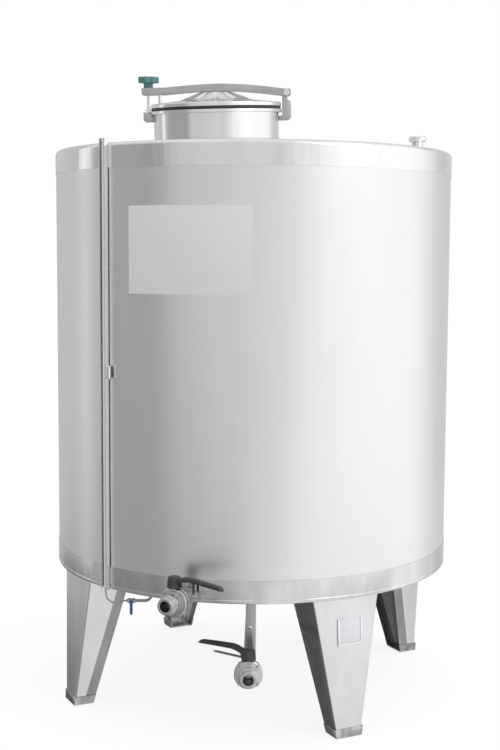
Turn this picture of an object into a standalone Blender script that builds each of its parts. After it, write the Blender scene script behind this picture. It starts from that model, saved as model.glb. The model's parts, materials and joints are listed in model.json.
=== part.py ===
"""Bulk milk tank: an insulated upright vessel on four folded legs.

Metres, +Z up. The tank's axis is upright and its front faces -Y. An azimuth is measured about that
axis, from the front towards +X, and a radial frame's local -Y points outwards at its azimuth.
"""

import bpy
import bmesh
from math import acos, atan2, cos, hypot, pi, radians, sin, sqrt, tan
from mathutils import Matrix, Vector

# ---------------------------------------------------------------- driving dimensions
TANK_R = 0.650            # outside radius of the wall sheet
RIM_Z = 1.768             # where the cone of the roof would meet the wall
BOTTOM_Z = 0.4245         # lowest edge of the rolled bottom rim
SHEET = 0.0015            # cladding sheet
VESSEL_WALL = 0.0025      # milk vessel sheet
INSULATION = 0.045        # wall insulation
ROOF_INSULATION = 0.066
FLOOR_DEPTH = 0.070       # from the bottom plate up to the vessel's floor at the wall
FLOOR_FALL = 0.020        # the vessel's floor falls this much to its centre
ROOF_SLOPE = radians(5)
SHOULDER_R = 0.015
TOP_BAND = 0.073          # polished skirt of the roof
BOTTOM_BAND = 0.070       # polished skirt of the base
LIP = 0.0040              # rolled rim under the bottom plate
LIP_WIDTH = 0.009
GAP = 0.0003              # between pieces that touch
RUN = 0.0004              # round a pin that turns

MANWAY_R = 0.200          # outside radius of the neck
MANWAY_WALL = 0.0025
MANWAY_AZIMUTH = radians(-42)
MANWAY_OFFSET = 0.180     # from the tank's axis
MANWAY_LEAN = radians(4.73)
LEAN_AZIMUTH = radians(-21.4)
NECK_HEIGHT = 0.0795      # above the roof, along the neck
NECK_DEPTH = 0.085        # below the roof, into the vessel
RING_R = MANWAY_R + 0.010       # the ring's edge, past the neck
RING_HEIGHT = 0.0105
GASKET_R = MANWAY_R + 0.007
GASKET_WIDTH = 0.016
GASKET_HEIGHT = 0.0088
LID_R = MANWAY_R + 0.008
LID_RIM = 0.0125
LID_SHEET = 0.0020
LID_ROUND = 0.005         # chamfer of the lid's upper edge
LID_RISE = 0.0095         # of the flat part, from the rim to the dome
DOME_R = 0.120
DOME_TOP_R = 0.051
DOME_HEIGHT = 0.026

ARM_HEIGHT = 0.023
ARM_BAR = 0.005           # thickness of each of the arm's two bars
ARM_GAP = 0.0315          # between the bars
ARM_LEFT = -(MANWAY_R + 0.035)  # the bars reach past the neck here
ARM_LEFT_Z = 0.1535
ARM_STRAIGHT = -(MANWAY_R - 0.042)     # the bars are level up to here
ARM_CREST = 0.012
ARM_CREST_Z = 0.162
ARM_TAIL = 0.015          # past the hinge pin
HINGE_X = MANWAY_R + 0.0245
HINGE_Z = 0.1413
HINGE_PIN_R = 0.005
HINGE_HEAD_R = 0.009
HINGE_HEAD = 0.003
BRACKET_PLATE = 0.005
BRACKET_WIDTH = 0.030
BLOCK_LENGTH = 0.050
BLOCK_HEIGHT = 0.014
BLOCK_ABOVE = 0.006       # the block's underside, over the dome
STUD_ABOVE = 0.004        # the stud's end, over the block
STUD_R = 0.006
GUIDE_PIN_R = 0.0055
GUIDE_PIN_X = -(MANWAY_R - 0.022)
GUIDE_PLATE = 0.006       # thickness of the guide pin's head

BOLT_X = -(MANWAY_R + 0.0147)
BOLT_LEAN = 0.0018        # its foot stands this much further out than its trunnion
BOLT_R = 0.004
TRUNNION_R = 0.008
TRUNNION_PIN_R = 0.004
BOLT_FOOT_Z = 0.0958
BOLT_FOOT_R = 0.0075
BOLT_FOOT_HALF = 0.013
LUG_PLATE = 0.005
LUG_GAP = 0.012
LUG_OUT = 0.032           # reach of the lug from the neck
LUG_HEIGHT = 0.0215
KNOB_R = 0.034
KNOB_HEIGHT = 0.020
KNOB_TOP = 0.2005
KNOB_LOBES = 7
KNOB_LOBE = 0.0035        # half the depth between lobes
KNOB_SOCKET = 0.006       # the knob's top, over the end of the bolt
KNOB_HUB_R = 0.0148

VENT_X = TANK_R - 0.105
VENT_R = 0.019
VENT_WALL = 0.0015
VENT_HEIGHT = 0.050
VENT_CAP_R = 0.029
VENT_CAP_HEIGHT = 0.018
VENT_CAP_TOP = 0.006      # thickness over the pipe's end
VENT_CAP_ROUND = 0.003

LEG_AZIMUTH = radians(26.3)
LEG_SHEET = 0.003
LEG_TOP_RADIUS = TANK_R - 0.026        # outer face at the top
LEG_FOOT_RADIUS = TANK_R + 0.0025      # outer face at the floor
LEG_TOP_WIDTH = 0.230
LEG_FOOT_WIDTH = 0.084
LEG_TOP_DEPTH = 0.137
LEG_FOOT_DEPTH = 0.063
PAD_SHEET = 0.004
PAD_MARGIN = 0.005
SHOE_HEIGHT = 0.028
SHOE_WALL = 0.002
SHOE_SOLE = 0.005

LABEL_X = 0.010           # off the middle of the leg's face
LABEL_WIDTH = 0.084
LABEL_HEIGHT = 0.080
LABEL_Z = BOTTOM_Z - 0.1065
LABEL_RAIL = 0.005
LABEL_PLATE = 0.0012
LABEL_BACK = 0.0012       # sheet behind the label
LABEL_LIP = 0.0035        # the rails stand this far over it
SIGN_FROM = radians(-34.8)
SIGN_TO = radians(-0.9)
SIGN_LOW = RIM_Z - 0.442
SIGN_HIGH = RIM_Z - 0.186
SIGN_PLATE = 0.001

GAUGE_AZIMUTH = radians(-43)
GAUGE_WIDTH = 0.025
GAUGE_DEPTH = 0.014
GAUGE_SHEET = 0.0015
GAUGE_ABOVE = 0.014       # over the rim of the roof
GAUGE_TUBE_R = 0.0055
GAUGE_TUBE_WALL = 0.0027
GAUGE_CLIP_Z = 1.089
GAUGE_CLIP_HEIGHT = 0.041
GAUGE_CLIP_WIDTH = 0.014
GAUGE_CLIP_DEPTH = 0.010
HOSE_R = 0.0028
COCK_X = -0.372           # small shut-off cock of the level gauge
COCK_Y = -(TANK_R - 0.180)
COCK_Z = BOTTOM_Z - 0.0395
COCK_LENGTH = 0.030
COCK_R = 0.008
COCK_STEM = 0.014
COCK_STEM_R = 0.004
NIPPLE_OUT = 0.045        # level run from the cock to the bend
NIPPLE_R = 0.0045
NIPPLE_WALL = 0.0010
NIPPLE_BEND = 0.018
LEVER_LENGTH = 0.040
LEVER_WIDTH = 0.009
LEVER_SHEET = 0.003

PIPE_R = 0.0175           # milk pipe, 35 mm outside
PIPE_WALL = 0.0015
BEND_R = 0.040
VALVE_BODY_R = 0.043
VALVE_BODY = 0.024        # thickness of the two bolted halves together
SEAL_THICKNESS = 0.004
VALVE_BORE_R = 0.016
VALVE_TAIL = 0.030        # welding tail behind the body
NOZZLE_R = 0.0265
NOZZLE_COLLAR_R = 0.029
NOZZLE_LENGTH = 0.060     # from the middle of the body to the nozzle's face
THREADS = 3
THREAD_PITCH = 0.0062
THREAD_DEPTH = 0.002
STEM_R = 0.006
HUB_R = 0.021
HUB_TOP = 0.076           # above the bore's axis
HANDLE_LENGTH = 0.184
HANDLE_WIDTH = 0.021
HANDLE_THICKNESS = 0.013
HANDLE_DROP = 0.008       # the grip falls this much towards its end
TRIGGER_LENGTH = 0.105
TRIGGER_SHEET = 0.003
TRIGGER_WIDTH = 0.014
TRIGGER_Z = 0.0470

OUTLET_X = -0.230         # middle of the outlet valve's body
OUTLET_Y = -(TANK_R + 0.047)
OUTLET_Z = BOTTOM_Z + 0.021
OUTLET_AZIMUTH = radians(-25)
OUTLET_RUN = 0.200        # level pipe behind the valve's middle
OUTLET_HANDLE = radians(75)     # handle's direction, from the nozzle's, seen from above
DRAIN_X = -0.015
DRAIN_Y = -0.620
DRAIN_Z = BOTTOM_Z - 0.2185
DRAIN_HANDLE = radians(-124)
STRAP_X = 0.006           # flat strap that hangs the drain from the base, off the valve's axis
STRAP_BEHIND = 0.085      # from the middle of the valve's body
STRAP_LOW = -0.003        # just under the middle of the drain pipe
STRAP_WIDTH = 0.030
STRAP_SHEET = 0.004

ROUND = 48                # sides of the tank's large rounds
FINE = 24                 # sides of a valve's rounds
SMALL = 12

# ---------------------------------------------------------------- materials
STEEL = ("brushed_steel", (0.62, 0.63, 0.64), 0.32, 1.0)
BRIGHT = ("polished_steel", (0.78, 0.79, 0.80), 0.12, 1.0)
FOAM = ("insulation_foam", (0.83, 0.74, 0.52), 0.90, 0.0)
RUBBER = ("black_rubber", (0.03, 0.03, 0.03), 0.60, 0.0)
BLACK = ("black_plastic", (0.035, 0.038, 0.042), 0.45, 0.0)
TEAL = ("teal_plastic", (0.10, 0.28, 0.29), 0.40, 0.0)
BLUE = ("blue_grip", (0.02, 0.12, 0.38), 0.45, 0.0)
CLEAR = ("clear_hose", (0.85, 0.88, 0.90), 0.15, 0.0)
PLATE = ("blank_plate", (0.72, 0.74, 0.76), 0.50, 0.0)


def material(finish):
    name, colour, roughness, metallic = finish
    found = bpy.data.materials.get(name)
    if found:
        return found
    made = bpy.data.materials.new(name)
    made.use_nodes = True
    shader = made.node_tree.nodes["Principled BSDF"]
    shader.inputs["Base Color"].default_value = (*colour, 1.0)
    shader.inputs["Roughness"].default_value = roughness
    shader.inputs["Metallic"].default_value = metallic
    made.diffuse_color = (*colour, 1.0)
    return made


# ---------------------------------------------------------------- scene helpers
def clear_scene():
    for item in list(bpy.data.objects):
        bpy.data.objects.remove(item, do_unlink=True)


def collection(name):
    made = bpy.data.collections.new(name)
    bpy.context.scene.collection.children.link(made)
    return made


def add_object(name, data, parent, place=(0, 0, 0), turn=(0, 0, 0), finish=None):
    made = bpy.data.objects.new(name, data)
    (PARTS if finish else GUIDES).objects.link(made)
    made.parent = parent
    made.location = place
    made.rotation_euler = turn
    if finish:
        data.materials.append(material(finish))
    return made


def frame_at(name, parent, place=(0, 0, 0), turn=(0, 0, 0)):
    return add_object(name, None, parent, place, turn)


def as_cutter(item):
    item.hide_render = True
    item.display_type = "WIRE"
    return item


def smooth(mesh, angle=radians(35)):
    mesh.shade_smooth()
    mesh.set_sharp_from_angle(angle=angle)


def mesh_from(bm, name):
    mesh = bpy.data.meshes.new(name)
    bm.to_mesh(mesh)
    bm.free()
    smooth(mesh)
    return mesh


def cut(item, *cutters, operation="DIFFERENCE"):
    for cutter in cutters:
        step = item.modifiers.new(cutter.name, "BOOLEAN")
        step.operation = operation
        step.solver = "EXACT"
        step.object = cutter
    return item


# ---------------------------------------------------------------- shapes
def turned(name, profile, parent, finish=None, steps=ROUND, **at):
    """A profile of (radius, height) points, turned round local Z. It runs down the outer side."""
    touches_axis = profile[0][0] == 0 and profile[-1][0] == 0
    bm = bmesh.new()
    ring = [bm.verts.new((radius, 0, height)) for radius, height in profile]
    count = len(ring)
    for start in range(count - 1 if touches_axis else count):
        bm.edges.new((ring[start], ring[(start + 1) % count]))
    item = add_object(name, mesh_from(bm, name), parent, finish=finish, **at)
    screw = item.modifiers.new("turn", "SCREW")
    screw.axis = "Z"
    screw.steps = steps
    screw.render_steps = steps
    screw.use_merge_vertices = True
    screw.merge_threshold = 0.00001
    screw.use_smooth_shade = True
    return item


def tube(name, radius, wall, low, high, parent, finish=None, steps=ROUND, **at):
    inner = radius - wall
    profile = [(radius, high), (radius, low), (inner, low), (inner, high)]
    return turned(name, profile, parent, finish, steps, **at)


def rod(name, radius, length, parent, finish=None, steps=SMALL, **at):
    """A round bar centred on its own origin, along local Z."""
    bm = bmesh.new()
    bmesh.ops.create_cone(bm, cap_ends=True, segments=steps, radius1=radius, radius2=radius, depth=length)
    return add_object(name, mesh_from(bm, name), parent, finish=finish, **at)


def block(name, size, parent, finish=None, **at):
    bm = bmesh.new()
    bmesh.ops.create_cube(bm, size=1.0, matrix=Matrix.Diagonal((*size, 1.0)))
    return add_object(name, mesh_from(bm, name), parent, finish=finish, **at)


def curve_mesh(name, curve):
    """The closed mesh of a curve, with its caps welded on."""
    holder = bpy.data.objects.new(name + "_curve", curve)
    GUIDES.objects.link(holder)
    seen = holder.evaluated_get(bpy.context.evaluated_depsgraph_get())
    mesh = bpy.data.meshes.new_from_object(seen)
    bpy.data.objects.remove(holder, do_unlink=True)
    bm = bmesh.new()
    bm.from_mesh(mesh)
    bmesh.ops.remove_doubles(bm, verts=bm.verts, dist=0.000005)
    bmesh.ops.recalc_face_normals(bm, faces=bm.faces)
    return mesh_from(bm, name)


def plate(name, outline, thickness, parent, finish=None, **at):
    """A flat outline in local XY, centred on its own plane."""
    curve = bpy.data.curves.new(name, "CURVE")
    curve.dimensions = "2D"
    curve.fill_mode = "BOTH"
    curve.extrude = thickness / 2
    line = curve.splines.new("POLY")
    line.points.add(len(outline) - 1)
    for point, (x, y) in zip(line.points, outline):
        point.co = (x, y, 0, 1)
    line.use_cyclic_u = True
    return add_object(name, curve_mesh(name, curve), parent, finish=finish, **at)


def solid_run(name, points, radius, parent, finish=None, sides=3, **at):
    """A round bar along a list of points."""
    curve = bpy.data.curves.new(name, "CURVE")
    curve.dimensions = "3D"
    curve.bevel_depth = radius
    curve.bevel_resolution = sides
    curve.use_fill_caps = True
    line = curve.splines.new("POLY")
    line.points.add(len(points) - 1)
    for point, place in zip(line.points, points):
        point.co = (*place, 1)
    return add_object(name, curve_mesh(name, curve), parent, finish=finish, **at)


def hollow_run(name, points, radius, wall, parent, finish, sides=3, welded=(), **at):
    """A pipe along a list of points, open at both ends, with pieces welded to its outside."""
    reach = 2 * wall
    first = Vector(points[0]) - (Vector(points[1]) - Vector(points[0])).normalized() * reach
    last = Vector(points[-1]) + (Vector(points[-1]) - Vector(points[-2])).normalized() * reach
    bore_points = [first, *points[1:-1], last]
    bore = as_cutter(solid_run(name + "_bore", bore_points, radius - wall, parent, sides=sides, **at))
    pipe = solid_run(name, points, radius, parent, finish, sides, **at)
    return cut(cut(pipe, *welded, operation="UNION"), bore)


def arc(centre, radius, start, end, count):
    return [
        (centre[0] + radius * cos(a), centre[1] + radius * sin(a))
        for a in (start + (end - start) * i / (count - 1) for i in range(count))
    ]


def elbow(corner, arrive, leave, radius, count=6):
    """Points of a rounded corner between two straight runs at right angles."""
    corner, arrive, leave = Vector(corner), Vector(arrive), Vector(leave)
    centre = corner - arrive * radius + leave * radius
    return [
        tuple(centre + arrive * radius * sin(a) - leave * radius * cos(a))
        for a in (pi / 2 * i / (count - 1) for i in range(count))
    ]


def outward(azimuth, radius, height=0.0):
    return Vector((radius * sin(azimuth), -radius * cos(azimuth), height))


# ---------------------------------------------------------------- places that follow from the sizes
BAND_R = TANK_R + GAP + SHEET                       # outside of the polished skirts
SHELL_IN = TANK_R - SHEET
VESSEL_R = SHELL_IN - GAP - INSULATION - GAP
PLATE_Z = BOTTOM_Z + LIP                            # underside of the bottom plate
FLOOR_Z = PLATE_Z + SHEET + FLOOR_DEPTH             # underside of the vessel's floor at its wall
SHOULDER_X = BAND_R - SHOULDER_R
SHOULDER_RISE = (TANK_R - SHOULDER_X - SHOULDER_R * sin(ROOF_SLOPE)) * tan(ROOF_SLOPE)
SHOULDER_Z = RIM_Z + SHOULDER_RISE - SHOULDER_R * cos(ROOF_SLOPE)
VESSEL_TOP = RIM_Z - SHEET - GAP - ROOF_INSULATION - GAP


def roof_z(radius):
    return RIM_Z + (TANK_R - radius) * tan(ROOF_SLOPE)


def vessel_roof_z(radius):
    return VESSEL_TOP + (VESSEL_R - radius) * tan(ROOF_SLOPE)


def vessel_floor_z(radius):
    return FLOOR_Z - FLOOR_FALL * (1 - radius / VESSEL_R)


# ---------------------------------------------------------------- the insulated tank
def tank_shells(tank):
    shell_low = PLATE_Z + SHEET + GAP
    shell = tube("outer_shell", TANK_R, SHEET, shell_low, SHOULDER_Z, tank, STEEL)

    skirt_low = RIM_Z - TOP_BAND
    shoulder = arc((SHOULDER_X, SHOULDER_Z), SHOULDER_R, pi / 2 - ROOF_SLOPE, 0, 6)
    inner = arc((SHOULDER_X, SHOULDER_Z), SHOULDER_R - SHEET, 0, pi / 2 - ROOF_SLOPE, 6)
    under = SHEET / cos(ROOF_SLOPE)
    profile = [(0, roof_z(0)), *shoulder, (BAND_R, skirt_low), (BAND_R - SHEET, skirt_low), *inner]
    roof = turned("roof_cover", [*profile, (0, roof_z(0) - under)], tank, BRIGHT)

    lip_in = BAND_R - LIP_WIDTH
    rim_round = 0.0015
    base_high = BOTTOM_Z + BOTTOM_BAND
    base_profile = [
        (0, PLATE_Z + SHEET), (BAND_R - SHEET, PLATE_Z + SHEET), (BAND_R - SHEET, base_high),
        (BAND_R, base_high), (BAND_R, BOTTOM_Z + rim_round), (BAND_R - rim_round, BOTTOM_Z),
        (lip_in + rim_round, BOTTOM_Z), (lip_in, BOTTOM_Z + rim_round), (lip_in, PLATE_Z), (0, PLATE_Z),
    ]
    base = turned("base_cover", base_profile, tank, BRIGHT)
    return shell, roof, base


def tank_insulation(tank):
    outer = SHELL_IN - GAP
    top = VESSEL_TOP
    wall = tube("wall_insulation", outer, INSULATION, FLOOR_Z + GAP, top, tank, FOAM)

    clear = SHEET / cos(ROOF_SLOPE) + GAP
    flat_r = SHOULDER_X - 0.003
    roof_profile = [
        (0, roof_z(0) - clear), (flat_r, roof_z(flat_r) - clear), (outer, SHOULDER_Z), (outer, top + GAP),
        (VESSEL_R + GAP, top + GAP), (0, vessel_roof_z(0) + 2 * GAP),
    ]
    roof = turned("roof_insulation", roof_profile, tank, FOAM)

    floor_profile = [
        (0, vessel_floor_z(0) - GAP), (VESSEL_R, FLOOR_Z - GAP), (outer, FLOOR_Z - GAP),
        (outer, PLATE_Z + SHEET + GAP), (0, PLATE_Z + SHEET + GAP),
    ]
    floor = turned("floor_insulation", floor_profile, tank, FOAM)
    return wall, roof, floor


def milk_vessel(tank):
    outside = [(0, vessel_roof_z(0)), (VESSEL_R, VESSEL_TOP), (VESSEL_R, FLOOR_Z), (0, vessel_floor_z(0))]
    lift = VESSEL_WALL
    inside_r = VESSEL_R - VESSEL_WALL
    inside = [
        (0, vessel_roof_z(0) - lift), (inside_r, vessel_roof_z(inside_r) - lift),
        (inside_r, vessel_floor_z(inside_r) + lift), (0, vessel_floor_z(0) + lift),
    ]
    hollow = as_cutter(turned("vessel_hollow", inside, tank))
    return cut(turned("inner_vessel", outside, tank, STEEL), hollow)


# ---------------------------------------------------------------- manway
def manway_frame(tank):
    """Its origin is on the roof under the lid, local Z along the neck and local X across the front."""
    centre = outward(MANWAY_AZIMUTH, MANWAY_OFFSET)
    up = outward(LEAN_AZIMUTH, sin(MANWAY_LEAN), cos(MANWAY_LEAN))
    across = (Vector((1, 0, 0)) - up * up.x).normalized()
    turn = Matrix((across, up.cross(across), up)).transposed().to_euler()
    return frame_at("manway", tank, (centre.x, centre.y, roof_z(MANWAY_OFFSET)), turn)


RING_TOP = NECK_HEIGHT + RING_HEIGHT
GASKET_TOP = RING_TOP + GAP + GASKET_HEIGHT
LID_LOW = GASKET_TOP + GAP
LID_FLAT = LID_LOW + LID_RIM
DOME_BASE = LID_FLAT + LID_RISE
DOME_TOP = DOME_BASE + DOME_HEIGHT


def manway_neck(manway):
    tube("manway_neck", MANWAY_R, MANWAY_WALL, -NECK_DEPTH, NECK_HEIGHT - GAP, manway, BRIGHT)
    tube("neck_ring", RING_R, RING_R - MANWAY_R + MANWAY_WALL, NECK_HEIGHT, RING_TOP, manway, BRIGHT)


def hinge_bracket(manway):
    """Two cheeks, a stiffening web and a foot that is welded to the neck; the arm straddles it."""
    x, z, r = HINGE_X, HINGE_Z, HINGE_PIN_R + 0.003
    foot_low = z - 0.087
    foot_high = RING_TOP - RING_HEIGHT - 0.010
    neck_x = MANWAY_R + GAP
    waist = 0.004
    back_x = x + 0.015
    outline = [
        (x - 0.012, z + r), *arc((x, z), r, pi / 2, -pi / 3, 6), (x + waist, z - 0.021), (back_x, z - 0.028),
        (back_x, foot_low + 0.008), (back_x - 0.008, foot_low), (neck_x, foot_low), (neck_x, foot_high),
        (x - 0.012, foot_high),
    ]
    upright = (pi / 2, 0, 0)
    bracket = plate("hinge_bracket", outline, BRACKET_WIDTH, manway, STEEL, turn=upright)
    inner = BRACKET_WIDTH - 2 * BRACKET_PLATE
    web = 0.004
    reach = 0.05
    hollow_low = foot_low - 0.01
    hollow = [
        (neck_x - 0.01, hollow_low), (back_x - web, hollow_low), (back_x - web, z - 0.020),
        (x + waist, z + reach), (neck_x - 0.01, z + reach),
    ]
    cut(bracket, as_cutter(plate("bracket_hollow", hollow, inner, manway, turn=upright)))
    hole = rod("hinge_hole", HINGE_PIN_R + RUN, 0.1, manway, place=(x, 0, z), turn=upright, steps=FINE)
    cut(bracket, as_cutter(hole))

    half = ARM_GAP / 2 + ARM_BAR + GAP
    head = HINGE_HEAD
    pin_profile = [
        (0, half + head), (HINGE_HEAD_R, half + head), (HINGE_HEAD_R, half), (HINGE_PIN_R, half),
        (HINGE_PIN_R, -half), (HINGE_HEAD_R, -half), (HINGE_HEAD_R, -half - head), (0, -half - head),
    ]
    turned("hinge_pin", pin_profile, manway, BRIGHT, FINE, place=(x, 0, z), turn=upright)


def clamp_lug(manway):
    """A forked keeper under the ring; its two ears carry the foot of the clamp bolt."""
    neck_x = -MANWAY_R - GAP
    out_x = neck_x - LUG_OUT
    low = NECK_HEIGHT - GAP - LUG_HEIGHT
    under_ring = NECK_HEIGHT - GAP
    ring_clear = -RING_R - 0.0008
    foot_x = BOLT_X - BOLT_LEAN
    drop = ARM_LEFT_Z - BOLT_FOOT_Z
    seat_r = BOLT_FOOT_R + GAP
    swing_r = sqrt(drop ** 2 + BOLT_LEAN ** 2) + seat_r
    down = -pi / 2 - atan2(BOLT_LEAN, drop)
    ramp = arc((BOLT_X, ARM_LEFT_Z), swing_r, -pi + acos((BOLT_X - out_x) / swing_r), down, 5)
    stop = arc((foot_x, BOLT_FOOT_Z), seat_r, down, -acos((ring_clear - foot_x) / seat_r), 5)
    outline = [
        *ramp, *stop[1:], (ring_clear, under_ring), (neck_x, under_ring), (neck_x, low), (out_x + 0.007, low),
        (out_x, low + 0.007),
    ]
    upright = (pi / 2, 0, 0)
    width = LUG_GAP + 2 * LUG_PLATE
    lug = plate("clamp_lug", outline, width, manway, STEEL, turn=upright)
    size = (LUG_OUT, LUG_GAP, 0.06)
    slot = block("lug_slot", size, manway, place=(out_x + LUG_OUT / 2 - 0.008, 0, low + 0.005 + size[2] / 2))
    cut(lug, as_cutter(slot))


def arm_mid(x):
    """Height of the arm's centre line in the manway frame."""
    if x <= ARM_STRAIGHT:
        return ARM_LEFT_Z
    if x <= ARM_CREST:
        share = (x - ARM_STRAIGHT) / (ARM_CREST - ARM_STRAIGHT)
        return ARM_LEFT_Z + (ARM_CREST_Z - ARM_LEFT_Z) * sin(share * pi / 2)
    share = (x - ARM_CREST) / (HINGE_X - ARM_CREST)
    return ARM_CREST_Z - (ARM_CREST_Z - HINGE_Z) * share ** 1.6


def lid_flat_z(radius):
    """Height of the lid's top between its rim and its dome, in the manway frame."""
    flat_r = LID_R - LID_ROUND
    return DOME_BASE - LID_RISE * (radius - DOME_R) / (flat_r - DOME_R)


def lid_and_arm(manway):
    """Everything that lifts about the hinge pin. Its frame's origin is on the pin's axis."""
    hinge = frame_at("lid_hinge", manway, (HINGE_X, 0, HINGE_Z))
    to_manway = (-HINGE_X, 0, -HINGE_Z)
    rim_in = LID_R - LID_SHEET - 0.008
    lid_profile = [
        (0, DOME_TOP), (DOME_TOP_R, DOME_TOP), (DOME_R, DOME_BASE), (LID_R - LID_ROUND, LID_FLAT),
        (LID_R, LID_FLAT - LID_ROUND), (LID_R, LID_LOW), (rim_in, LID_LOW), (rim_in, LID_FLAT - 0.004),
        (DOME_R, DOME_BASE - LID_SHEET), (DOME_TOP_R, DOME_TOP - LID_SHEET), (0, DOME_TOP - LID_SHEET),
    ]
    turned("manway_lid", lid_profile, hinge, BRIGHT, place=to_manway)
    tube("lid_gasket", GASKET_R, GASKET_WIDTH, RING_TOP + GAP, GASKET_TOP, hinge, RUBBER, place=to_manway)

    end_x = HINGE_X + ARM_TAIL
    bends = 14
    curved = (ARM_STRAIGHT + (end_x - ARM_STRAIGHT) * i / bends for i in range(1, bends + 1))
    middle = [(x, arm_mid(min(x, HINGE_X))) for x in (ARM_LEFT, ARM_STRAIGHT, *curved)]
    over = [(x, z + ARM_HEIGHT / 2) for x, z in middle]
    below = [(x, z - ARM_HEIGHT / 2) for x, z in reversed(middle)]
    offset = ARM_GAP / 2 + ARM_BAR / 2
    upright = (pi / 2, 0, 0)
    for name, side in (("arm_bar_front", -1), ("arm_bar_back", 1)):
        place = (-HINGE_X, side * offset, -HINGE_Z)
        bar = plate(name, over + below, ARM_BAR, hinge, STEEL, place=place, turn=upright)
        pin_hole = rod(name + "_pin_hole", HINGE_PIN_R + RUN, 0.1, hinge, turn=upright, steps=FINE)
        bolt_place = (BOLT_X - HINGE_X, 0, ARM_LEFT_Z - HINGE_Z)
        journal = TRUNNION_PIN_R + RUN
        bolt_hole = rod(name + "_bolt_hole", journal, 0.1, hinge, place=bolt_place, turn=upright, steps=FINE)
        cut(bar, as_cutter(pin_hole), as_cutter(bolt_hole))

    block_z = DOME_TOP + BLOCK_ABOVE + BLOCK_HEIGHT / 2
    size = (BLOCK_LENGTH, ARM_GAP - 2 * GAP, BLOCK_HEIGHT)
    arm_block = block("arm_block", size, hinge, STEEL, place=(-HINGE_X, 0, block_z - HINGE_Z))
    stud_top = block_z + BLOCK_HEIGHT / 2 + STUD_ABOVE
    stud_low = DOME_TOP + GAP
    stud_mid = (stud_top + stud_low) / 2 - HINGE_Z
    rod("lid_stud", STUD_R, stud_top - stud_low, hinge, BRIGHT, place=(-HINGE_X, 0, stud_mid))
    hole = rod("stud_hole", STUD_R + RUN, 0.1, hinge, place=(-HINGE_X, 0, stud_mid))
    cut(arm_block, as_cutter(hole))

    guide_low = lid_flat_z(-GUIDE_PIN_X - GUIDE_PIN_R) + GAP
    guide_top = ARM_LEFT_Z - 0.001
    guide_place = (GUIDE_PIN_X - HINGE_X, 0, guide_low - HINGE_Z)
    plate_low = guide_top - guide_low - GUIDE_PLATE
    bar_gap = ARM_GAP / 2 - GAP
    guide_profile = [
        (0, guide_top - guide_low), (bar_gap, guide_top - guide_low), (bar_gap, plate_low),
        (GUIDE_PIN_R, plate_low), (GUIDE_PIN_R, 0), (0, 0),
    ]
    turned("lid_guide_pin", guide_profile, hinge, BRIGHT, FINE, place=guide_place)
    return hinge


def clamp(hinge):
    """The clamp bolt hangs in a trunnion between the arm's bars. Its frame is on the trunnion's axis."""
    swing = frame_at("clamp_swing", hinge, (BOLT_X - HINGE_X, 0, ARM_LEFT_Z - HINGE_Z))
    half = ARM_GAP / 2 - GAP
    outer = ARM_GAP / 2 + ARM_BAR
    profile = [
        (0, outer), (TRUNNION_PIN_R, outer), (TRUNNION_PIN_R, half), (TRUNNION_R, half),
        (TRUNNION_R, -half), (TRUNNION_PIN_R, -half), (TRUNNION_PIN_R, -outer), (0, -outer),
    ]
    barrel = turned("clamp_trunnion", profile, swing, STEEL, FINE, turn=(pi / 2, 0, 0))

    drop = ARM_LEFT_Z - BOLT_FOOT_Z
    lean = atan2(BOLT_LEAN, drop)
    bolt_turn = (0, lean, 0)
    reach = sqrt(drop ** 2 + BOLT_LEAN ** 2)
    bolt_top = KNOB_TOP - ARM_LEFT_Z - KNOB_SOCKET
    axis = Vector((sin(lean), 0, cos(lean)))
    middle = axis * (bolt_top - reach) / 2
    shank = rod("clamp_bolt", BOLT_R, bolt_top + reach, swing, BRIGHT, FINE, place=middle, turn=bolt_turn)
    at = {"place": axis * -reach, "turn": (pi / 2, 0, 0)}
    foot = rod("bolt_foot", BOLT_FOOT_R, 2 * BOLT_FOOT_HALF, swing, steps=FINE, **at)
    cut(shank, as_cutter(foot), operation="UNION")
    hole = rod("trunnion_hole", BOLT_R + RUN, 0.1, swing, turn=bolt_turn, steps=FINE)
    cut(barrel, as_cutter(hole))

    knob_axis = frame_at("knob_turn", swing, (0, 0, 0), bolt_turn)
    knob_low = KNOB_TOP - KNOB_HEIGHT - ARM_LEFT_Z
    hub_low = TRUNNION_R + GAP
    lobes = []
    steps = KNOB_LOBES * 6
    for i in range(steps):
        angle = 2 * pi * i / steps
        radius = KNOB_R - KNOB_LOBE + KNOB_LOBE * cos(KNOB_LOBES * angle)
        lobes.append((radius * cos(angle), radius * sin(angle)))
    knob = plate("clamp_knob", lobes, KNOB_HEIGHT, knob_axis, TEAL, place=(0, 0, knob_low + KNOB_HEIGHT / 2))
    inside = 0.004            # the hub runs this far up into the knob
    hub_height = knob_low + inside - hub_low
    hub_mid = (0, 0, hub_low + hub_height / 2)
    hub = rod("knob_hub", KNOB_HUB_R, hub_height, knob_axis, place=hub_mid, steps=FINE)
    cut(knob, as_cutter(hub), operation="UNION")
    socket_top = bolt_top + GAP
    socket_low = hub_low - 0.01
    socket_mid = (0, 0, (socket_top + socket_low) / 2)
    socket_height = socket_top - socket_low
    socket = rod("knob_socket", BOLT_R + RUN, socket_height, knob_axis, place=socket_mid, steps=FINE)
    cut(knob, as_cutter(socket))


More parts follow.
